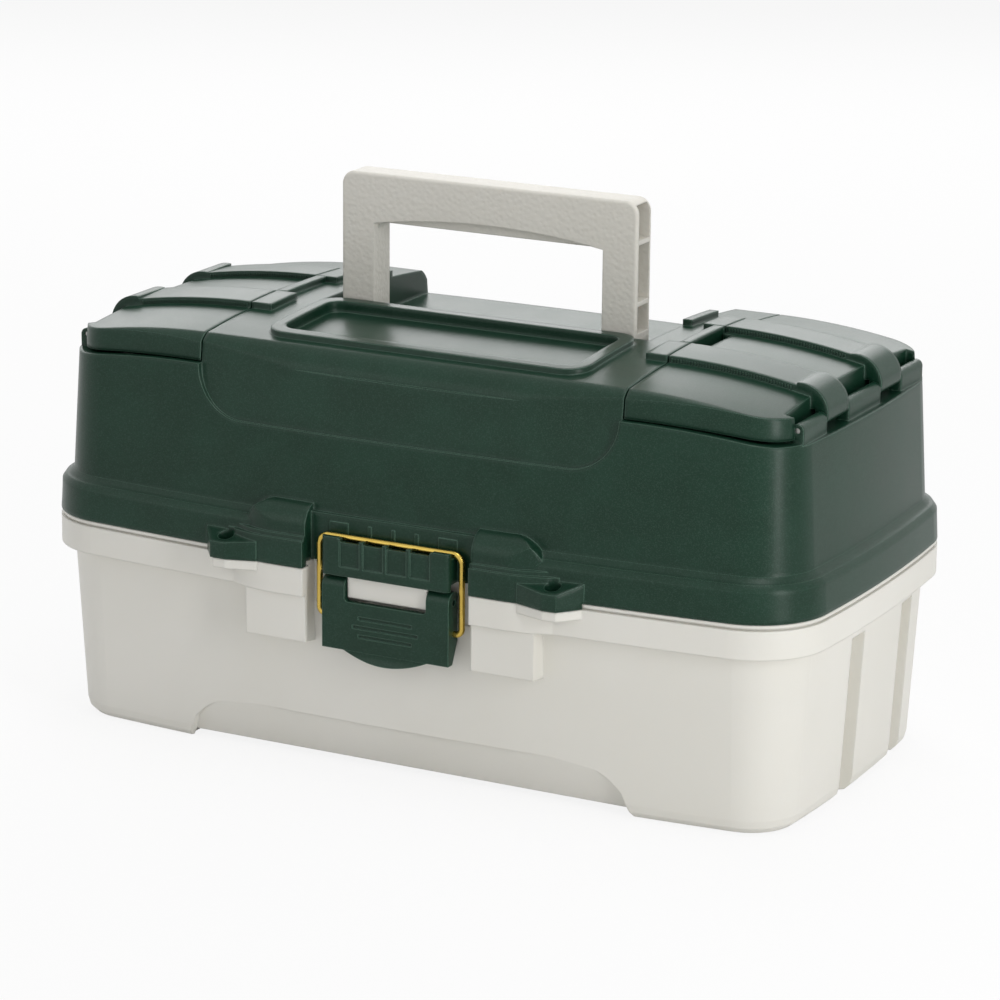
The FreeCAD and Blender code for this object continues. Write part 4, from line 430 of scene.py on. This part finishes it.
def riser_ribs(side, name, body):
    points = []
    edges = []
    for y in RISERS:
        line = riser_line(side, y)
        edges += [(len(points) + n, len(points) + n + 1) for n in range(len(line) - 1)]
        points += line
    recipe = Recipe("riser ribs", **{"Pitch": 0.0015, "Width": 0.0008, "Depth": 0.0007, "Height": 0.0017})
    path = recipe.node("GeometryNodeMeshToCurve", {}, {"Mesh": recipe.enter["Geometry"]})
    even = recipe.node("GeometryNodeCurveToPoints", {"mode": "LENGTH"}, {
        "Curve": path.outputs[0], "Length": recipe.enter["Pitch"]})
    size = recipe.node("ShaderNodeCombineXYZ", {}, {
        "X": recipe.enter["Width"], "Y": recipe.enter["Depth"], "Z": recipe.enter["Height"]})
    rib = recipe.node("GeometryNodeMeshCube", {}, {"Size": size.outputs[0]})
    row = recipe.node("GeometryNodeInstanceOnPoints", {}, {"Points": even.outputs[0], "Instance": rib.outputs[0]})
    return recipe.bake(row.outputs[0], lid_green, base_mesh("riser line", points, edges), name, body)


riser_ribs(1, "riser_ribs_right", "right_cover")
riser_ribs(-1, "riser_ribs_left", "left_cover")

# %% [markdown]
# ## A white sweep
# The catalogue picture stands on white paper that runs up behind the box. A floor lit to white would
# also flood the box from below, so the paper is a plain pale floor, and only the rays that come
# straight from the camera see it near white. A share of the diffuse floor stays in, for the shadow.

# %% Floor
def sweep():
    half, bare_share, glossy_share = 6.0, 0.86, 0.25
    mesh = bpy.data.meshes.new("floor")
    mesh.from_pydata([(-half, -half, 0), (half, -half, 0), (half, half, 0), (-half, half, 0)], [], [(0, 1, 2, 3)])
    floor = bpy.data.objects.new("floor", mesh)
    bpy.context.scene.collection.objects.link(floor)
    tree = Tree("white floor")
    path = tree.node("ShaderNodeLightPath", {}, {})
    seen = path.out("Is Camera Ray").math("MAXIMUM", path.out("Is Glossy Ray") * glossy_share)
    tree.finish(Base_Color=(0.9, 0.9, 0.9, 1), Roughness=0.9, Specular_IOR_Level=0.0)
    white = tree.node("ShaderNodeEmission", {}, {"Color": (1, 1, 1, 1), "Strength": 1.0})
    blend = tree.node("ShaderNodeMixShader", {}, {
        0: seen * bare_share, 1: Signal(tree, tree.shader.outputs["BSDF"]), 2: white.out("Emission")})
    tree.feed(tree.nodes["Material Output"].inputs["Surface"], blend.out("Shader"))
    mesh.materials.append(tree.material)
    return floor


print("floor:", sweep().name)

# %% [markdown]
# ## The room around it
# The world lights the box evenly and weakly, and it is white where the camera or a glossy surface
# looks at it, so the wire and the satin lid show the white room without more light falling on them.

# %% World
def white_room():
    even_light, seen_white = 0.5, 1.0
    world = bpy.data.worlds.new("studio")
    bpy.context.scene.world = world
    world.use_nodes = True
    nodes, links = world.node_tree.nodes, world.node_tree.links
    background = nodes["Background"]
    path = nodes.new("ShaderNodeLightPath")
    seen = nodes.new("ShaderNodeMath")
    seen.operation = "MAXIMUM"
    level = nodes.new("ShaderNodeMapRange")
    level.inputs["To Min"].default_value = even_light
    level.inputs["To Max"].default_value = seen_white
    links.new(path.outputs["Is Camera Ray"], seen.inputs[0])
    links.new(path.outputs["Is Glossy Ray"], seen.inputs[1])
    links.new(seen.outputs["Value"], level.inputs["Value"])
    links.new(level.outputs["Result"], background.inputs["Strength"])
    background.inputs["Color"].default_value = (1, 1, 1, 1)
    return world


print("world:", white_room().name)

# %% [markdown]
# ## The lamps
# Five soft lamps model the form. One hangs overhead, one stands behind and turns the top pale, one
# to the right lights the end, and a weak one fills the front. The fifth is a narrow upright strip
# close to the near corner: a rounded corner shows a lamp as a line, and that line is what makes
# the corner read as moulded plastic.

# %% Lamps
def lamp(name, place, target, width, height, power):
    light = bpy.data.lights.new(name, "AREA")
    light.shape = "RECTANGLE"
    light.size = width
    light.size_y = height
    light.energy = power
    made = bpy.data.objects.new(name, light)
    made.location = place
    made.visible_camera = False
    made.rotation_euler = (Vector(target) - Vector(place)).to_track_quat("-Z", "Y").to_euler()
    bpy.context.scene.collection.objects.link(made)
    return made


middle = (0, 0, 0.12)
near_corner = (0.21, -0.11, 0.47)
lamps = [
    lamp("overhead", (0.1, 0.1, 1.6), middle, width=1.5, height=0.4, power=8.0),
    lamp("behind and above", (-0.9, 1.9, 1.0), middle, width=2.4, height=0.8, power=13.0),
    lamp("right side", (1.8, -0.7, 0.5), middle, width=0.5, height=1.2, power=2.5),
    lamp("upright strip", (1.01, -0.52, 0.47), near_corner, width=0.12, height=0.9, power=4.0),
    lamp("front fill", (-0.9, -1.7, 0.8), middle, width=1.2, height=1.0, power=2.0),
]
print("lamps:", len(lamps))

# %% [markdown]
# ## The camera
# Its place, turn and lens were solved from points on the box before anything was modelled. The
# angles are turned into three axes, and the axes into the camera's matrix.

# %% Camera
AZIMUTH = math.radians(27.31)
ELEVATION = math.radians(15.72)
ROLL = math.radians(0.57)
DISTANCE = 2.0935
FOCAL_PIXELS = 4009.16
IMAGE_PIXELS = 1000
AIM = Vector((0, 0, 0.110))
ASIDE = 0.00251
RAISED = 0.01230

level_part = math.cos(ELEVATION)
back = Vector((math.sin(AZIMUTH) * level_part, -math.cos(AZIMUTH) * level_part, math.sin(ELEVATION)))
right = Vector((math.cos(AZIMUTH), math.sin(AZIMUTH), 0))
up = back.cross(right)
right_turned = right * math.cos(ROLL) + up * math.sin(ROLL)
up_turned = up * math.cos(ROLL) - right * math.sin(ROLL)
eye = AIM + back * DISTANCE + right_turned * ASIDE + up_turned * RAISED

lens = bpy.data.cameras.new("camera")
lens.sensor_width = 36.0
lens.lens = FOCAL_PIXELS / IMAGE_PIXELS * lens.sensor_width
camera = bpy.data.objects.new("camera", lens)
turn = Matrix((right_turned, up_turned, back)).transposed().to_4x4()
camera.matrix_world = Matrix.Translation(eye) @ turn
bpy.context.scene.collection.objects.link(camera)
bpy.context.scene.camera = camera
bpy.context.scene.view_settings.view_transform = "Standard"
print("lens", round(lens.lens, 1), "mm")
